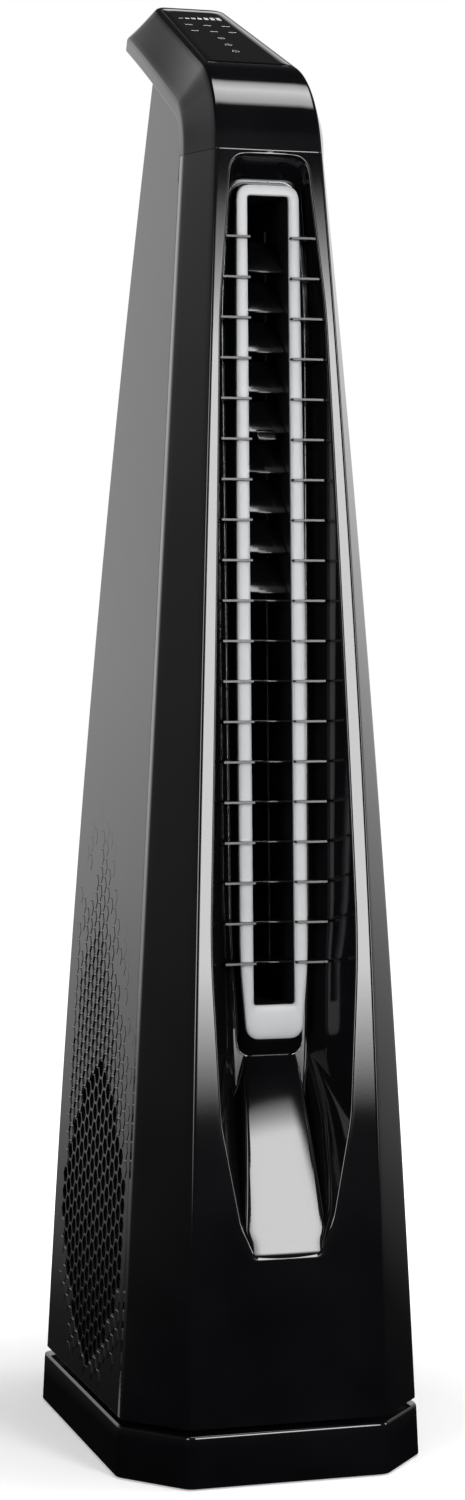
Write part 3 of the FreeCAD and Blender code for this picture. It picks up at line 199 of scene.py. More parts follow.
def gridFaces(rows, columns, closeRows=False, closeColumns=False, start=0):
    low, high = ring(rows, closeRows)
    left, right = ring(columns, closeColumns)
    quads = np.stack([
        (low[:, None] * columns + left[None, :]), (low[:, None] * columns + right[None, :]),
        (high[:, None] * columns + right[None, :]), (high[:, None] * columns + left[None, :])], axis=-1)
    return quads.reshape(-1, 4) + start


# parts: grids of points in millimetres (rows, columns, 3), with their closing flags and facing
def addPiece(name, parts, material, body, angle=40.0):
    points, faces, start = [], [], 0
    for grid, closeRows, closeColumns, flip in parts:
        rows, columns = grid.shape[:2]
        quads = gridFaces(rows, columns, closeRows, closeColumns, start)
        faces.append(quads[:, ::-1] if flip else quads)
        points.append(grid.reshape(-1, 3))
        start += rows * columns
    points = np.concatenate(points) * mm
    faces = np.concatenate(faces)
    mesh = bpy.data.meshes.new(name)
    mesh.from_pydata(points.tolist(), [], faces.tolist())
    work = bmesh.new()
    work.from_mesh(mesh)
    bmesh.ops.remove_doubles(work, verts=work.verts, dist=2e-6)
    bmesh.ops.dissolve_degenerate(work, edges=work.edges, dist=1e-6)
    work.to_mesh(mesh)
    work.free()
    mesh.shade_smooth()
    mesh.set_sharp_from_angle(angle=math.radians(angle))
    mesh.materials.append(material)
    piece = bpy.data.objects.new(name, mesh)
    scene.collection.objects.link(piece)
    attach(piece, body)
    return piece


# quadratic curve: (1-t)^2 start + 2t(1-t) corner + t^2 end, for each pair of rows
def bend(start, corner, end, steps):
    t = np.linspace(0, 1, steps)[:, None]
    return (1 - t) ** 2 * start + 2 * t * (1 - t) * corner + t ** 2 * end


# distance from a corner at which a round of this radius starts
def setback(before, corner, after, radius):
    inward = before - corner
    outward = after - corner
    long = np.linalg.norm(inward), np.linalg.norm(outward)
    turn = math.acos(np.clip(inward @ outward / (long[0] * long[1]), -1, 1))
    reach = radius / math.tan(turn / 2) if turn > 0.01 else 0.0
    return min(reach, 0.47 * long[0], 0.47 * long[1]), inward / long[0], outward / long[1]


# right half of an outline from the top middle to the bottom middle, corners rounded
def halfOutline(corners, arc=9, run=12):
    spots = [np.array((0.0, corners[0][0][1]))] + [np.array(spot, float) for spot, _ in corners]
    spots.append(np.array((0.0, corners[-1][0][1])))
    pieces = []
    last = spots[0]
    for index, (_, radius) in enumerate(corners, start=1):
        back, inward, outward = setback(spots[index - 1], spots[index], spots[index + 1], radius)
        first = spots[index] + inward * back
        pieces.append(np.linspace(last, first, run, endpoint=False))
        last = spots[index] + outward * back
        pieces.append(bend(first, spots[index], last, arc)[:-1])
    pieces.append(np.linspace(last, spots[-1], run))
    return np.concatenate(pieces)


# mirrors a right half into a closed outline
def wholeOutline(half):
    mirrored = half[-2:0:-1] * np.array([-1, 1])
    return np.concatenate([half, mirrored])


# outward normals of a right half, in the plane of the outline
def normals(half):
    along = np.gradient(half, axis=0)
    along /= np.linalg.norm(along, axis=1)[:, None] + 1e-9
    out = np.stack([-along[:, 1], along[:, 0]], axis=1)
    return np.where((half[:, :1] < 0.01) & (np.abs(out[:, :1]) > 0.5), [[0.0, 1.0]], out)


# closed polygon whose corners are quadratic curves starting a given distance from each corner
def roundPolygon(corners, back, arc=6, run=4):
    corners = np.asarray(corners, float)
    count = len(corners)
    backs = np.broadcast_to(back, count)
    pieces = []
    for index in range(count):
        here, before, after = corners[index], corners[index - 1], corners[(index + 1) % count]
        _, inward, outward = setback(before, here, after, 1.0)
        first = here + inward * backs[index]
        last = here + outward * backs[index]
        following = (index + 1) % count
        _, nextIn, _ = setback(here, after, corners[(index + 2) % count], 1.0)
        pieces.append(bend(first, here, last, arc))
        pieces.append(np.linspace(last, after + nextIn * backs[following], run + 1)[1:-1])
    return np.concatenate(pieces)


def mirror(grid):
    return grid * np.array([-1, 1, 1])


# the tower's curves: each is a + b z + c z squared of the height z, in millimetres
tower = {"half": (82.4, -0.01358, -2.08e-5), "wide": (45.1, -0.03664, 7.94e-6),
         "deep": (50.0, -0.0075, 0.0), "front": (-159.6, 0.0081, 4.07e-5), "low": 48.0, "seam": 1063.0,
         "wrap": 11.0, "back": (160.2, 0.0, -7.45e-5)}
outlet = {"silver": -133.0, "lean": 0.03, "floor": 16.5, "bayHalf": 17.4,
          "bayLow": 378.3, "bayHigh": 1027.5}
mouth = [((31.2, 1060), 20), ((43.8, 938), 700), ((60.8, 425), 900), ((54.0, 287), 150),
         ((38.5, 205), 60), ((27.0, 180), 7)]
floorEdge = [((29.4, 1043), 18), ((36.8, 943), 900), ((34.8, 455), 900), ((33.2, 385), 150),
             ((29.0, 342), 8), ((18.0, 332), 5)]
podEdge = [((26.8, 1040), 16), ((34.2, 945), 700), ((32.3, 440), 700), ((26.6, 336), 13)]
loopEdge = [((25.9, 1036), 13), ((28.9, 704), 20000), ((28.4, 412), 500), ((23.2, 351), 12)]


def curve(name, z):
    a, b, c = tower[name]
    return a + b * z + c * z * z


def silverY(z):
    return outlet["silver"] + outlet["lean"] * z


# points (x, z) laid on the tower's front face
def onFace(flat):
    return np.stack([flat[..., 0], curve("front", flat[..., 1]), flat[..., 1]], axis=-1)


# points (x, z) laid a distance behind the silver face
def onPlane(flat, depth):
    return np.stack([flat[..., 0], silverY(flat[..., 1]) + depth, flat[..., 1]], axis=-1)


# front shell
# face: ruled from the mouth's edge to the corner line; then round the corner, the chamfer and the wrap
skin = {"lip": 1.3, "lipDeep": 2.4, "corner": 1.9, "across": 9, "turn": 6, "chamfer": 9,
        "top": 1061.5, "bottom": 168.0, "flatPace": 0.25, "lipFrom": 181.0, "lipGrow": 15.0,
        "lipLeast": 0.15,
        "underInner": (0.5, 2.0, 6.0), "underOuter": (0.5, 1.5, 3.5), "gap": 6.0, "lowRows": 14,
        "hemRise": 0.5, "hemTurn": 0.4, "hemWide": 2.6}
mouthHalf = halfOutline(mouth)
floorHalf = halfOutline(floorEdge)


def frontSkin():
    edge = mouthHalf
    step = np.abs(np.diff(edge, axis=0))
    gone = np.concatenate([[0], np.cumsum(step[:, 1] + skin["flatPace"] * step[:, 0])])
    low = skin["bottom"]
    outerZ = skin["top"] - gone / gone[-1] * (skin["top"] - low)
    lipWide = skin["lip"] * np.clip((edge[:, 1:] - skin["lipFrom"]) / skin["lipGrow"],
                                    skin["lipLeast"], 1.0)
    grown = edge + normals(edge) * lipWide
    grown[:, 0] = np.maximum(grown[:, 0], 0)
    wallEnd = onPlane(floorHalf, outlet["floor"])
    lipTop = onFace(edge)
    run = wallEnd - lipTop
    inner = lipTop + run / np.linalg.norm(run, axis=1)[:, None] * skin["lipDeep"]
    t = np.linspace(0, 1, skin["turn"])[:, None, None]
    lip = (1 - t) ** 2 * inner + 2 * t * (1 - t) * lipTop + t ** 2 * onFace(grown)
    topZ = np.array([tower["seam"]])
    lowZ = np.linspace(low - skin["gap"], tower["low"], skin["lowRows"])
    rowsZ = np.concatenate([topZ, outerZ, low - np.array(skin["underOuter"]), lowZ])
    underLip = np.concatenate([grown[-1, 1] - np.array(skin["underInner"]), lowZ])
    spine = np.concatenate([[[0, tower["seam"]]], grown, np.stack([0 * underLip, underLip], axis=1)])
    half = curve("half", rowsZ) - skin["corner"]
    t = np.linspace(0, 1, skin["across"])[1:-1, None]
    flatX = spine[:, 0] * (1 - t) + half * t
    flatZ = spine[:, 1] * (1 - t) + rowsZ * t
    face = onFace(np.stack([flatX, flatZ], axis=-1))
    startLip = np.repeat(onFace(spine[:1])[None], skin["turn"], axis=0)
    endLip = np.repeat(onFace(spine[-len(underLip):])[None], skin["turn"], axis=0)
    lip = np.concatenate([startLip, lip, endLip], axis=1)
    return np.concatenate([lip, face, sideTurn(rowsZ)], axis=0).transpose(1, 0, 2)


# front corner, chamfer, rear corner and wrap strip at each height
def sideTurn(z):
    half, wide, deep, front = (curve(name, z) for name in ("half", "wide", "deep", "front"))
    long = np.hypot(wide, deep)
    slope = np.stack([wide / long, deep / long], axis=-1)
    first = np.stack([half, front], axis=-1)
    second = np.stack([half + wide, front + deep], axis=-1)
    back = skin["corner"]
    t = np.linspace(0, 1, skin["turn"])[:, None, None]
    one = ((1 - t) ** 2 * (first - [back, 0]) + 2 * t * (1 - t) * first
           + t ** 2 * (first + slope * back))
    two = ((1 - t) ** 2 * (second - slope * back) + 2 * t * (1 - t) * second
           + t ** 2 * (second + [0, back]))
    t = np.linspace(0, 1, skin["chamfer"])[1:-1, None, None]
    flank = one[-1] * (1 - t) + two[0] * t
    end = second + [0, tower["wrap"]]
    edges = np.stack([end - [0, skin["hemRise"]], end - [skin["hemTurn"], 0], end - [skin["hemWide"], 0]])
    plan = np.concatenate([one, flank, two, edges])
    level = np.broadcast_to(z, plan.shape[:2])
    return np.concatenate([plan, level[..., None]], axis=-1)


shellGrid = frontSkin()
shellHalves = [(shellGrid, False, False, True), (mirror(shellGrid), False, False, False)]
frontShell = addPiece("frontShell", shellHalves, glossBlack, "tower", 50)
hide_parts("front_shell")
print("front shell made")

# outlet recess
# wall: straight lines from the mouth to the floor's edge, then round into the floor
recess = {"start": 2.3, "round": 4.0, "deepLow": 1.0, "deepFrom": 300.0, "deepTo": 196.0,
          "shrink": (0.62, 0.96), "lift": 27.6, "landing": 2.5,
          "wallRows": 14, "roundRows": 6, "floorRows": 5}
pocketEdge = [((29.4, 1043), 18), ((36.8, 943), 900), ((34.8, 455), 900), ((31.5, 345), 120),
              ((26.0, 235), 60), ((15.0, 196), 10)]


# depth of the recess floor behind the silver face: even, then shallower towards its lower end
def floorDepth(z):
    share = np.clip((recess["deepFrom"] - z) / (recess["deepFrom"] - recess["deepTo"]), 0, 1)
    return outlet["floor"] + (recess["deepLow"] - outlet["floor"]) * share


pocketRing = wholeOutline(halfOutline(pocketEdge))
mouthRing = onFace(wholeOutline(mouthHalf))
floorRing = onPlane(pocketRing, floorDepth(pocketRing[:, 1]))
fall = floorRing - mouthRing
fall = fall / np.linalg.norm(fall, axis=1)[:, None]
underPod = pocketRing * recess["shrink"] + [0, recess["lift"]]
inward = onPlane(underPod, floorDepth(underPod[:, 1]))
t = np.linspace(0, 1, recess["wallRows"])[:, None, None]
wallRows = (mouthRing + fall * recess["start"]) * (1 - t) + (floorRing - fall * recess["round"]) * t
t = np.linspace(0, 1, recess["roundRows"])[:, None, None]
towards = (inward - floorRing) / np.linalg.norm(inward - floorRing, axis=1)[:, None]
roundRows = ((1 - t) ** 2 * (floorRing - fall * recess["round"]) + 2 * t * (1 - t) * floorRing
             + t ** 2 * (floorRing + towards * recess["landing"]))
t = np.linspace(0, 1, recess["floorRows"])[1:, None, None]
floorRows = roundRows[-1] * (1 - t) + inward * t
recessGrid = np.concatenate([wallRows, roundRows[1:], floorRows])
recessPiece = addPiece("outletRecess", [(recessGrid, False, True, True)], glossBlack, "tower",
                       50)
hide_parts("outlet_recess")

# tongue below the pod
# a sheet that leans forward as it falls, crowned across, with sides that roll down into two valleys
tongue = {"top": 339.0, "low": 177.6, "halfTop": 29.0, "halfLow": 39.5, "flat": 0.70, "widen": 0.16,
          "roll": 20.0, "proud": 0.8, "crown": 1.3, "lip": 0.97, "lipBack": 1.2, "steep": 1.49,
          "lowWide": 33.0, "tuck": 1.5, "sink": 0.5, "tail": (0, 14.0, 2.0)}
down = np.linspace(0, 1, 40)[:, None]
across = np.linspace(-1, 1, 49)[None, :]
tongueZ = tongue["top"] + (tongue["low"] - tongue["top"]) * down + 0 * across
halfWide = tongue["halfTop"] + (tongue["halfLow"] - tongue["halfTop"]) * down ** 0.9
mouthAt = np.interp(tongueZ, mouthHalf[::-1, 1], mouthHalf[::-1, 0])
halfWide = np.minimum(halfWide, np.maximum(mouthAt, tongue["lowWide"]) + tongue["tuck"])
ease = tongue["steep"] * down + (1 - tongue["steep"]) * down ** 2
startAt = silverY(tongueZ) + outlet["floor"] - tongue["sink"]
sheetY = startAt * (1 - ease) + (curve("front", tongueZ) - tongue["proud"]) * ease
flat = tongue["flat"] + tongue["widen"] * down
rolled = np.maximum(np.abs(across) - flat, 0) / (1 - flat)
sheetY = sheetY + tongue["crown"] * across ** 2 + tongue["roll"] * rolled ** 1.6 * (1 - down ** 4)
lipDown = np.maximum(down - tongue["lip"], 0) / (1 - tongue["lip"])
sheetY = np.maximum(sheetY + tongue["lipBack"] * lipDown ** 2, curve("front", tongueZ) - tongue["proud"])
tongueGrid = np.stack([halfWide * across, sheetY, tongueZ], axis=-1)
tail = tongueGrid[-1:] + tongue["tail"]
addPiece("outletTongue", [(np.concatenate([tongueGrid, tail]), False, False, True)], glossBlack,
         "tower", 60)

# pod, trim and loop
# each is a set of outlines at stepped depths, joined in rings
loopRing = wholeOutline(halfOutline(loopEdge))
podRing = wholeOutline(halfOutline(podEdge))


def between(first, second, share):
    return first * (1 - share) + second * share


podSteps = {"sides": ((0.0, 16.5), (0.0, 15.3), (0.03, 13.9), (0.10, 12.6)),   # share of the way in, depth
            "brow": ((0.9, 4.6), (0.97, 3.6), (1.0, 2.6), (1.01, 0.4))}
podRows = [onPlane(between(podRing, loopRing, share), depth)
           for share, depth in podSteps["sides"] + podSteps["brow"]]
addPiece("outletPod", [(np.stack(podRows), False, True, True)], glossBlack, "tower", 50)
tube = {"radius": 0.8, "sides": 12, "wide": 0.022, "high": 0.0024, "middle": 688.0, "sink": 0.5,
        "bias": 0.8, "swell": 0.6}
turn = np.linspace(0, 2 * math.pi, tube["sides"], endpoint=False)
middle = np.array([0.0, tube["middle"]])
trimEdge = podRing + (podRing - middle) * [tube["wide"], tube["high"]]
trimFlat = [between(podRing, trimEdge, tube["bias"] + tube["swell"] * math.cos(a)) for a in turn]
trimRows = [onPlane(flat, outlet["floor"] - tube["sink"] + tube["radius"] * math.sin(a))
            for flat, a in zip(trimFlat, turn)]
trim = addPiece("trimRing", [(np.stack(trimRows), True, True, False)], chromeTrim, "tower",
                60)
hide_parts("trim_ring")

bayRows = [((outlet["bayHalf"], outlet["bayHigh"]), 3), ((outlet["bayHalf"], 704), 20000),
           ((outlet["bayHalf"], 412), 500), ((outlet["bayHalf"], outlet["bayLow"]), 3)]
bayRing = wholeOutline(halfOutline(bayRows))
loopSteps = {"outer": ((0.0, 3.0), (0.0, 0.9), (0.03, 0.3), (0.09, 0.0)),   # share of the way in, depth
             "inner": ((0.93, 0.1), (0.985, 0.5), (1.0, 1.1), (1.0, 3.0)),
             "crown": 0.25, "crownFrom": 0.2, "crownTo": 0.85, "crownRows": 8}
crowned = [(share, -loopSteps["crown"] * math.sin(math.pi * share)) for share in
           np.linspace(loopSteps["crownFrom"], loopSteps["crownTo"], loopSteps["crownRows"])]
loopRows = [onPlane(between(loopRing, bayRing, share), depth)
            for share, depth in [*loopSteps["outer"], *crowned, *loopSteps["inner"]]]
loop = addPiece("outletLoop", [(np.stack(loopRows), False, True, True)], satinSilver, "tower",
                50)
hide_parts("outlet_loop")
print("outlet made")

# vanes
# a stadium profile (round nose, round tail) run along X, its ends rounded in and closed
vane = {"half": 16.9, "reach": 37.0, "thick": 0.9, "pivot": 38.0, "top": 993.5, "low": 412.6, "count": 19,
        "upper": 9, "tilt": 45.0, "tabs": (4, 13), "tabHalf": 7.5, "tabReach": 8.0, "tabRoot": 3.0,
        "tail": -1.5, "ends": ((0.0, 0.0), (0.0, 0.97), (0.12, 0.99), (0.4, 1.0))}   # inset, share


def bladeGrid(near, far, half, pivotZ, tilt):
    arc = np.linspace(-math.pi / 2, math.pi / 2, 9)
    nose = np.stack([far - vane["thick"] * (1 - np.cos(arc)), vane["thick"] * np.sin(arc)], axis=1)
    tail = np.stack([near + vane["thick"] * (1 - np.cos(arc)), -vane["thick"] * np.sin(arc)], axis=1)
    profile = np.concatenate([nose, tail])
    centre = profile.mean(axis=0)
    ends = [(inset - half, scale) for inset, scale in vane["ends"]]
    ends += [(half - inset, scale) for inset, scale in reversed(vane["ends"])]
    tilt = math.radians(tilt)
    ahead = np.array([0, -math.cos(tilt), -math.sin(tilt)])
    up = np.array([0, -math.sin(tilt), math.cos(tilt)])
    pivotAt = np.array([0, silverY(pivotZ) + vane["pivot"], pivotZ])
    rows = []
    for x, scale in ends:
        flat = centre + (profile - centre) * scale
        rows.append(pivotAt + [x, 0, 0] + flat[:, :1] * ahead + flat[:, 1:] * up)
    return np.stack(rows)


for index in range(vane["count"]):
    height = vane["top"] - (vane["top"] - vane["low"]) * index / (vane["count"] - 1)
    tilt = vane["tilt"] if index < vane["upper"] else 0.0
    parts = [(bladeGrid(vane["tail"], vane["reach"], vane["half"], height, tilt), False, True, True)]
    if index in vane["tabs"]:
        tabEnd = vane["reach"] + vane["tabReach"]
        tabStart = vane["reach"] - vane["tabRoot"]
        parts.append((bladeGrid(tabStart, tabEnd, vane["tabHalf"], height, tilt), False, True, True))
    blade = addPiece("vaneBlade%02d" % (index + 1), parts, glossThin, "vane_%02d" % (index + 1),
                     45)
    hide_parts("vane_%02d" % (index + 1))
print("vanes made")

# plinth
# rounded outline at stepped heights: lower edge, drafted side, rounded upper edge, deck
plinth = {"wide": 128.8, "front": 83.2, "deep": 161.5, "chamfer": 52.0, "draft": 2.4,
          "backs": (5, 5, 5, 8, 8, 5),
          "foot": ((3.4, 1.2), (0.9, 1.2), (0.25, 1.5), (0.0, 2.2)),   # inset, height
          "shoulder": 40.6, "top": 43.0, "edge": 2.2, "deck": (14.0, 60.0, 128.0)}
corners = [(-plinth["front"], -plinth["deep"]), (plinth["front"], -plinth["deep"]),
           (plinth["wide"], -plinth["deep"] + plinth["chamfer"]), (plinth["wide"], plinth["deep"]),
           (-plinth["wide"], plinth["deep"]), (-plinth["wide"], -plinth["deep"] + plinth["chamfer"])]
plan = roundPolygon(corners, plinth["backs"], 8, 10)
slope = math.tan(math.radians(plinth["draft"]))
lean = slope * (plinth["shoulder"] - plinth["foot"][-1][1])
profile = [*plinth["foot"], (lean, plinth["shoulder"])]
profile += [(lean + plinth["edge"] * (1 - math.cos(a)),
             plinth["shoulder"] + (plinth["top"] - plinth["shoulder"]) * math.sin(a))
            for a in np.linspace(0.2, math.pi / 2, 6)]
profile += [(inset, plinth["top"]) for inset in plinth["deck"]]
reach = np.array([plinth["wide"], plinth["deep"]])
plinthRows = [np.concatenate([plan * (1 - inset / reach), np.full((len(plan), 1), z)], axis=1)
              for inset, z in profile]
plinthPiece = addPiece("plinth", [(np.stack(plinthRows), False, True, False)], glossBlack, "base",
                       35)
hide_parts("plinth")

# hood
# sections across a line that runs straight, bends on an arc and runs straight again
hood = {"tilt": 7.0, "radius": 85.0, "slope": 23.3, "rear": 137.4, "high": 1222.0,
        "half": (44.4, -0.0470, 0.0), "outer": (59.6, 0.0, -7.9e-5), "deep": (42.0, -0.105, 2.06e-4),
        "strip": 11.2, "rearRound": 11.0, "edge": 2.4, "backs": (2.4, 2.4, 2.2, 1.6, 1.6, 2.2),
        "seamRows": ((0.0, 0.016, 1.0), (0.0, 0.005, 1.0), (0.2, 0.0015, 1.0), (0.6, 0.0, 0.99)),
        "leadOut": 60.0, "rows": (5, 26, 18, 8), "rearDraw": 0.06, "rearCap": (0.3, 0.6, 1.0)}
steep = math.radians(90 - hood["tilt"])
shallow = math.radians(hood["slope"])
startY = curve("front", tower["seam"])
crossing = math.cos(steep) * math.sin(shallow) - math.sin(steep) * math.cos(shallow)
rise = hood["high"] - tower["seam"]
reachY = hood["rear"] - startY
toCorner = (reachY * math.sin(shallow) - rise * math.cos(shallow)) / crossing
cornerY = startY + math.cos(steep) * toCorner
cornerZ = tower["seam"] + math.sin(steep) * toCorner
trimBack = hood["radius"] * math.tan((steep - shallow) / 2)
straight = toCorner - trimBack
arcLong = hood["radius"] * (steep - shallow)
topLong = math.hypot(hood["rear"] - cornerY, hood["high"] - cornerZ) - trimBack
hoodLong = straight + arcLong + topLong


# place and direction on the hood's line: straight, arc, straight, at distance s from the seam
def hoodLine(s):
    angle = np.clip(steep - (s - straight) / hood["radius"], shallow, steep)
    lowY = startY + math.cos(steep) * np.minimum(s, straight)
    lowZ = tower["seam"] + math.sin(steep) * np.minimum(s, straight)
    y = lowY + hood["radius"] * (math.sin(steep) - np.sin(angle))
    z = lowZ + hood["radius"] * (np.cos(angle) - math.cos(steep))
    beyond = np.maximum(0, s - straight - arcLong)
    return y + math.cos(shallow) * beyond, z + math.sin(shallow) * beyond, angle


def along(name, s):
    a, b, c = hood[name]
    return a + b * s + c * s * s


def hoodRow(s, shrink=0.0, lead=0.0):
    half, outer, deep = along("half", s), along("outer", s), along("deep", s)
    low = deep + hood["strip"]
    near = max(0.0, s - hoodLong + hood["rearRound"])
    half -= hood["rearRound"] - math.sqrt(max(0.0, hood["rearRound"] ** 2 - near ** 2))
    corners = [(-half, 0), (half, 0), (outer, deep), (outer, low), (-outer, low), (-outer, deep)]
    section = roundPolygon(corners, hood["backs"], 6, 8)
    centre = np.array([0, low * 0.5])
    section = centre + (section - centre) * (1 - shrink)
    here = s + lead * section[:, 1] * math.tan(math.radians(hood["tilt"]))
    y, z, angle = hoodLine(here)
    across, below = section[:, 0], section[:, 1]
    return np.stack([across, y + np.sin(angle) * below, z - np.cos(angle) * below], axis=-1)


frontRows, bendRows, topRows, rearRows = hood["rows"]
rearStart = hoodLong - hood["rearRound"]
rearQuarter = np.sin(np.linspace(0, math.pi / 2, rearRows))
stations = np.concatenate([np.linspace(0, straight, frontRows, endpoint=False),
                           np.linspace(straight, straight + arcLong, bendRows, endpoint=False),
                           np.linspace(straight + arcLong, rearStart, topRows, endpoint=False),
                           rearStart + (hood["rearRound"] - hood["edge"]) * rearQuarter])
hoodRows = [hoodRow(*row) for row in hood["seamRows"]]
hoodRows += [hoodRow(s, 0.0, max(0.0, 1 - s / hood["leadOut"])) for s in stations[1:]]
hoodRows += [hoodRow(hoodLong - hood["edge"] * (1 - math.sin(a)), hood["rearDraw"] * (1 - math.cos(a)))
             for a in np.linspace(0.3, math.pi / 2, 5)]
hoodRows += [hoodRow(hoodLong, shrink) for shrink in hood["rearCap"]]
hoodPiece = addPiece("hood", [(np.stack(hoodRows), False, True, False)], glossBlack, "tower",
                     50)
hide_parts("hood")

# control glass and its printed marks
slopeStart = straight + arcLong
glass = {"start": 3.0, "margin": 8.0, "inset": 3.4, "proud": 0.25, "backs": (4, 4, 9, 9),
         "edge": ((0.0, -0.4), (0.0, 0.02), (0.1, 0.16), (0.3, 0.25), (8.0, 0.25))}   # inset, lift
glassLow = glass["start"]
glassHigh = topLong - glass["margin"]
lowHalf = along("half", slopeStart + glassLow) - glass["inset"]
highHalf = along("half", slopeStart + glassHigh) - glass["inset"]


# points (x, distance up the slope) laid on the hood's top
def onSlope(flat, lift):
    y, z, angle = hoodLine(slopeStart + flat[..., 1])
    return np.stack([flat[..., 0], y - math.sin(shallow) * lift, z + math.cos(shallow) * lift], axis=-1)


glassCorners = [(-lowHalf, glassLow), (lowHalf, glassLow), (highHalf, glassHigh), (-highHalf, glassHigh)]
glassPlan = roundPolygon(glassCorners, glass["backs"], 8, 12)
centre = glassPlan.mean(axis=0)
size = np.array([lowHalf, (glassHigh - glassLow) / 2])
glassRows = [onSlope(centre + (glassPlan - centre) * (1 - inset / size), lift) for inset, lift in
             (*glass["edge"], (size.min() - 1, glass["proud"]))]
glassRows.append(np.repeat(onSlope(centre[None], glass["proud"]), len(glassPlan), axis=0))
glassPiece = addPiece("controlGlass", [(np.stack(glassRows), False, True, False)], blackGlass, "tower",
                      30)
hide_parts("control_glass")
marks = {"low": 0.26, "high": 0.30, "draw": 0.02, "bars": 7, "barsAt": 0.82, "barFirst": -17.4,
         "barStep": 5.8, "barHalf": 1.9, "barShort": 0.9, "barGrow": 0.7, "dashRows": (0.70, 0.585),
         "dashes": (-16.5, 0.0, 16.5), "dash": (3.4, 0.7), "touch": (0.46, 0.34, 0.22), "ring": (3.1, 0.55),
         "tick": (0.35, 1.4)}


# a thin printed plate: its outline on the glass, lifted, and drawn in to its middle
def plate(flat):
    flat = np.asarray(flat, float)
    middle = flat.mean(axis=0)
    drawn = middle + (flat - middle) * marks["draw"]
    rows = [onSlope(flat, marks["low"]), onSlope(flat, marks["high"]), onSlope(drawn, marks["high"])]
    return np.stack(rows), False, True, False


def box(x, y, halfX, halfY):
    return roundPolygon([(x - halfX, y - halfY), (x + halfX, y - halfY), (x + halfX, y + halfY),
                         (x - halfX, y + halfY)], min(halfX, halfY) * 0.3, 3, 1)


# a printed ring: outer and inner circles joined
def hoop(x, y, radius, thick):
    a = np.linspace(0, 2 * math.pi, 20, endpoint=False)
    unit = np.stack([np.cos(a), np.sin(a)], axis=1)
    rows = [onSlope(unit * r + [x, y], marks["high"]) for r in (radius, radius - thick)]
    return np.stack(rows), False, True, False


span = glassHigh - glassLow
parts = []
for bar in range(marks["bars"]):
    taller = marks["barGrow"] * bar
    parts.append(plate(box(marks["barFirst"] + marks["barStep"] * bar,
                           glassLow + span * marks["barsAt"] + taller, marks["barHalf"],
                           marks["barShort"] + taller)))
parts += [plate(box(x, glassLow + span * row, *marks["dash"]))
          for row in marks["dashRows"] for x in marks["dashes"]]
parts += [hoop(0.0, glassLow + span * row, *marks["ring"]) for row in marks["touch"]]
parts += [plate(box(0.0, glassLow + span * row, *marks["tick"])) for row in marks["touch"]]
addPiece("glassMarks", parts, printedInk, "tower", 30)
print("hood made")

# honeycomb outlines on the side panels
# shallow ridges: three hexagons, inner at the panel, middle raised, outer at the panel
comb = {"pitch": 15.2, "web": 2.2, "y": 12.0, "z": 191.0, "high": 122.0, "deep": 114.0, "rise": 0.9,
        "power": 1.45, "slimAbove": 0.5, "lean": 0.16, "reachDeep": 128.0, "deepPower": 1.6,
        "reachHigh": 150.0, "highPower": 1.9, "rearKeep": 7.0, "frontKeep": 3.0,
        "lowest": 60.0, "scatter": 0.75, "whole": 0.62,
        "wideNear": 0.9, "wideFar": 0.6, "riseNear": 1.1, "riseFade": 0.8, "sink": 0.02,
        "hash": (12.9898, 78.233, 43758.5453)}   # the usual numbers of a sine hash, for an even scatter
columnStep = comb["pitch"] * math.sqrt(3) / 2
column, row = np.meshgrid(np.arange(-8, 9), np.arange(-12, 26), indexing="ij")
cellY = column * columnStep
cellZ = row * comb["pitch"] + np.where(column % 2, comb["pitch"] / 2, 0)
inside = (np.abs(cellY) / comb["deep"]) ** comb["power"] + (np.abs(cellZ) / comb["high"]) ** comb["power"]
upper = np.where(cellZ > 0, comb["slimAbove"], 1.0)
leanBack = np.where(cellZ > 0, cellY - comb["lean"] * cellZ, cellY)
reachOut = ((np.abs(leanBack) / comb["reachDeep"]) ** comb["deepPower"]
            + (np.abs(cellZ) * upper / comb["reachHigh"]) ** comb["highPower"])
cellY, cellZ = cellY + comb["y"], cellZ + comb["z"]
frontLimit = curve("front", cellZ) + curve("deep", cellZ) + tower["wrap"] + comb["pitch"]
rearLimit = curve("back", cellZ) - comb["rearKeep"] - comb["pitch"]
byColumn, byRow, stretch = comb["hash"]
scatter = np.modf(np.abs(np.sin(column * byColumn + row * byRow) * stretch))[0]
edgeOut = reachOut + comb["scatter"] * (scatter - 0.5) * reachOut
chosen = ((inside > 1.0) | (cellY < frontLimit)) & (edgeOut < 1.0)
chosen = chosen & (cellY > frontLimit - comb["frontKeep"]) & (cellY < rearLimit) & (cellZ > comb["lowest"])
keepY, keepZ, fade = cellY[chosen], cellZ[chosen], reachOut[chosen]


def combPart(side, edgesFrom, edgesTo, pick):
    a = np.radians(60 * np.arange(edgesFrom, edgesTo + 1))
    unit = np.stack([np.cos(a), np.sin(a)], axis=-1)
    radius = (comb["pitch"] - comb["web"]) / math.sqrt(3)
    wide = comb["wideNear"] * (1 - fade[pick]) + comb["wideFar"]
    grids = []
    rise = comb["rise"] * (comb["riseNear"] - comb["riseFade"] * fade[pick])[:, None]
    for offset, lift in ((-1, 0.0), (0, rise), (1, 0.0)):
        r = radius + offset * wide
        y = keepY[pick][:, None] + r[:, None] * unit[:, 0]
        z = keepZ[pick][:, None] + r[:, None] * unit[:, 1]
        x = curve("half", z) + curve("wide", z) + lift - comb["sink"]
        grids.append(np.stack([side * x, y, z], axis=-1))
    cells = np.stack(grids, axis=1)
    return [(cell, False, False, side > 0) for cell in cells]


near = fade < comb["whole"]
for side, name in ((-1, "combLeft"), (1, "combRight")):
    parts = combPart(side, 0, 6, near) + combPart(side, 1, 4, ~near)
    addPiece(name, parts, glossPanel, "tower", 25)
print("honeycomb marks made", int(chosen.sum()))

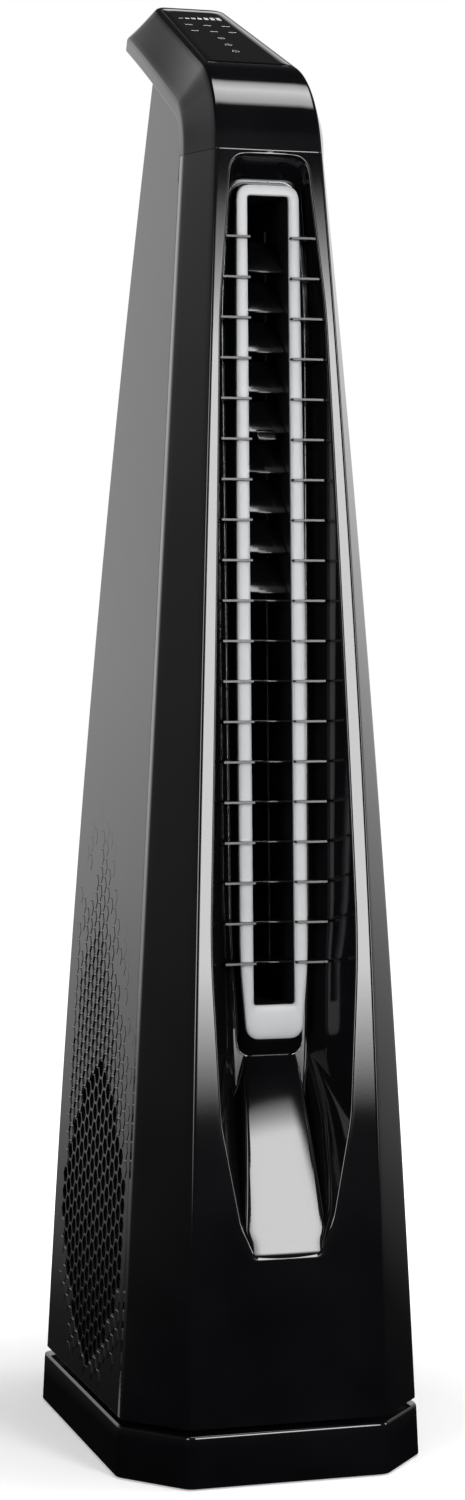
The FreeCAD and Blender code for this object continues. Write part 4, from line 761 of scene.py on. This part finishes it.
# finishes of the CAD nodes that stay
nodeSlots = {item["node"]: item["material_slot"] for item in frame["record"]["subparts"]}
nodeLooks = {"guard_ribs": satinRib, "left_side_panel": glossPanel, "right_side_panel": glossPanel,
             "rear_panel": glossPanel, "outlet_pod": innerBlack}
for name, node in frame["nodes"].items():
    look = nodeLooks.get(name, slotLooks.get(nodeSlots.get(name), innerBlack))
    for slot in node.material_slots:
        slot.material = look
    if not node.material_slots:
        node.data.materials.append(look)


# stage: floor, softboxes, surroundings
def stagePlane(name, centre, alongX, alongY, material, hidden=True):
    centre, alongX, alongY = (np.array(v, float) for v in (centre, alongX, alongY))
    signs = np.array([(-1, -1), (1, -1), (1, 1), (-1, 1)])
    corners = centre + signs[:, :1] * alongX + signs[:, 1:] * alongY
    mesh = bpy.data.meshes.new(name)
    mesh.from_pydata(corners.tolist(), [], [(0, 1, 2, 3)])
    uv = mesh.uv_layers.new(name="UVMap")
    uv.data.foreach_set("uv", ((signs + 1) / 2).ravel())
    mesh.materials.append(material)
    plane = bpy.data.objects.new(name, mesh)
    scene.collection.objects.link(plane)
    plane.visible_camera = not hidden
    plane.visible_shadow = not hidden
    return plane


# emission that fades towards the ends along one axis and softly at the sides
def softbox(name, power, stops, axis="Y", sides=0.12):
    made = bpy.data.materials.new(name)
    made.use_nodes = True
    tree = made.node_tree
    tree.nodes.clear()
    split = addNode(tree, "SeparateXYZ", inputs={"Vector": addNode(tree, "TexCoord").outputs["UV"]})
    other = "X" if axis == "Y" else "Y"
    shade = addNode(tree, "ValToRGB", inputs={"Fac": split.outputs[axis]}, stops=stops)
    edge = addNode(tree, "ValToRGB", inputs={"Fac": split.outputs[other]}, stops=[
        (0.0, "#000000"), (sides, "#ffffff"), (1 - sides, "#ffffff"), (1.0, "#000000")])
    both = addNode(tree, "VectorMath", {"operation": "MULTIPLY"},
                   {0: shade.outputs["Color"], 1: edge.outputs["Color"]})
    glow = addNode(tree, "Emission", inputs={"Color": both.outputs["Vector"], "Strength": power})
    addNode(tree, "OutputMaterial", inputs={"Surface": glow.outputs["Emission"]})
    return made


frontGlow = softbox("softbox_front", 15.0, [(0.0, "#000000"), (0.14, "#ffffff"), (0.76, "#ffffff"),
                                            (0.84, "#b0b0b0"), (0.93, "#000000")])
stagePlane("boxFront", (0.72, -2.42, 1.02), (0.36, 0.105, 0), (0, 0, 0.95), frontGlow)
topGlow = softbox("softbox_top", 10.0, [(0.0, "#000000"), (0.16, "#dcdcdc"), (0.6, "#ffffff"),
                                        (0.86, "#bcbcbc"), (1.0, "#000000")])
stagePlane("boxTop", (0.12, -0.34, 2.65), (0.75, 0, 0), (0, 0.56, 0), topGlow)

edgeGlow = softbox("softbox_edge", 8.0, [(0.0, "#000000"), (0.2, "#ffffff"), (0.8, "#ffffff"),
                                         (1.0, "#000000")])
stagePlane("boxLeft", (-1.95, -1.75, 0.9), (0.33, -0.37, 0), (0, 0, 1.0), edgeGlow)
stagePlane("boxRight", (2.5, -0.75, 0.9), (0.1, 0.4, 0), (0, 0, 1.0), edgeGlow)
floorLook = bpy.data.materials.new("floor_paper")
floorLook.use_nodes = True
tree = floorLook.node_tree
tree.nodes.clear()
paper = addNode(tree, "BsdfDiffuse", inputs={"Color": (0.9, 0.9, 0.9, 1)})
away = addNode(tree, "VectorMath", {"operation": "LENGTH"},
               {0: addNode(tree, "TexCoord").outputs["Object"]})
# painted shade: the floor's glow, seen only by the camera, is weaker near the fan's base and full from 0.9
# m out, so the floor is darker round the base
paintedBaseShade = addNode(tree, "MapRange", inputs={"Value": away.outputs["Value"], "From Min": 0.22, "From Max": 0.9,
                                          "To Min": 0.30, "To Max": 1.0})
lift = addNode(tree, "Emission", inputs={"Color": (1, 1, 1, 1), "Strength": paintedBaseShade.outputs["Result"]})
seen = addNode(tree, "AddShader", inputs={0: paper.outputs["BSDF"], 1: lift.outputs["Emission"]})
clear = addNode(tree, "BsdfTransparent")
pick = addNode(tree, "MixShader", inputs={"Fac": addNode(tree, "LightPath").outputs["Is Camera Ray"],
                                          1: clear.outputs["BSDF"], 2: seen.outputs["Shader"]})
addNode(tree, "OutputMaterial", inputs={"Surface": pick.outputs["Shader"]})
stagePlane("floor", (0, 1, 0), (7, 0, 0), (0, 7, 0), floorLook, hidden=False)

world = bpy.data.worlds.new("studio")
scene.world = world
world.use_nodes = True
tree = world.node_tree
tree.nodes.clear()
way = addNode(tree, "SeparateXYZ", inputs={"Vector": addNode(tree, "TexCoord").outputs["Generated"]})
height = addNode(tree, "MapRange", inputs={"Value": way.outputs["Z"], "From Min": -0.25, "From Max": 0.75})
rising = addNode(tree, "ValToRGB", inputs={"Fac": height.outputs["Result"]}, stops=[
    (0.0, "#101010"), (0.06, "#343434"), (0.13, "#a8a8a8"), (0.20, "#d4d4d4"), (0.27, "#e8e8e8"),
    (0.50, "#ececec"), (0.62, "#ffffff"), (0.70, "#f0f0f0"), (0.80, "#404040"), (1.0, "#202020")])
depth = addNode(tree, "MapRange", inputs={"Value": way.outputs["Y"], "From Min": -1.0, "From Max": 1.0})
behindGlow = addNode(tree, "ValToRGB", inputs={"Fac": depth.outputs["Result"]}, stops=[
    (0.0, "#505050"), (0.5, "#707070"), (0.7, "#a0a0a0"), (0.92, "#ffffff"), (1.0, "#ffffff")])
product = addNode(tree, "VectorMath", {"operation": "MULTIPLY"},
                  {0: rising.outputs["Color"], 1: behindGlow.outputs["Color"]})
around = addNode(tree, "Background", inputs={"Color": product.outputs["Vector"], "Strength": 1.0})
white = addNode(tree, "Background", inputs={"Color": (1, 1, 1, 1), "Strength": 1.0})
pick = addNode(tree, "MixShader", inputs={"Fac": addNode(tree, "LightPath").outputs["Is Camera Ray"],
                                          1: around.outputs["Background"], 2: white.outputs["Background"]})
addNode(tree, "OutputWorld", inputs={"Surface": pick.outputs["Shader"]})
print("stage made")
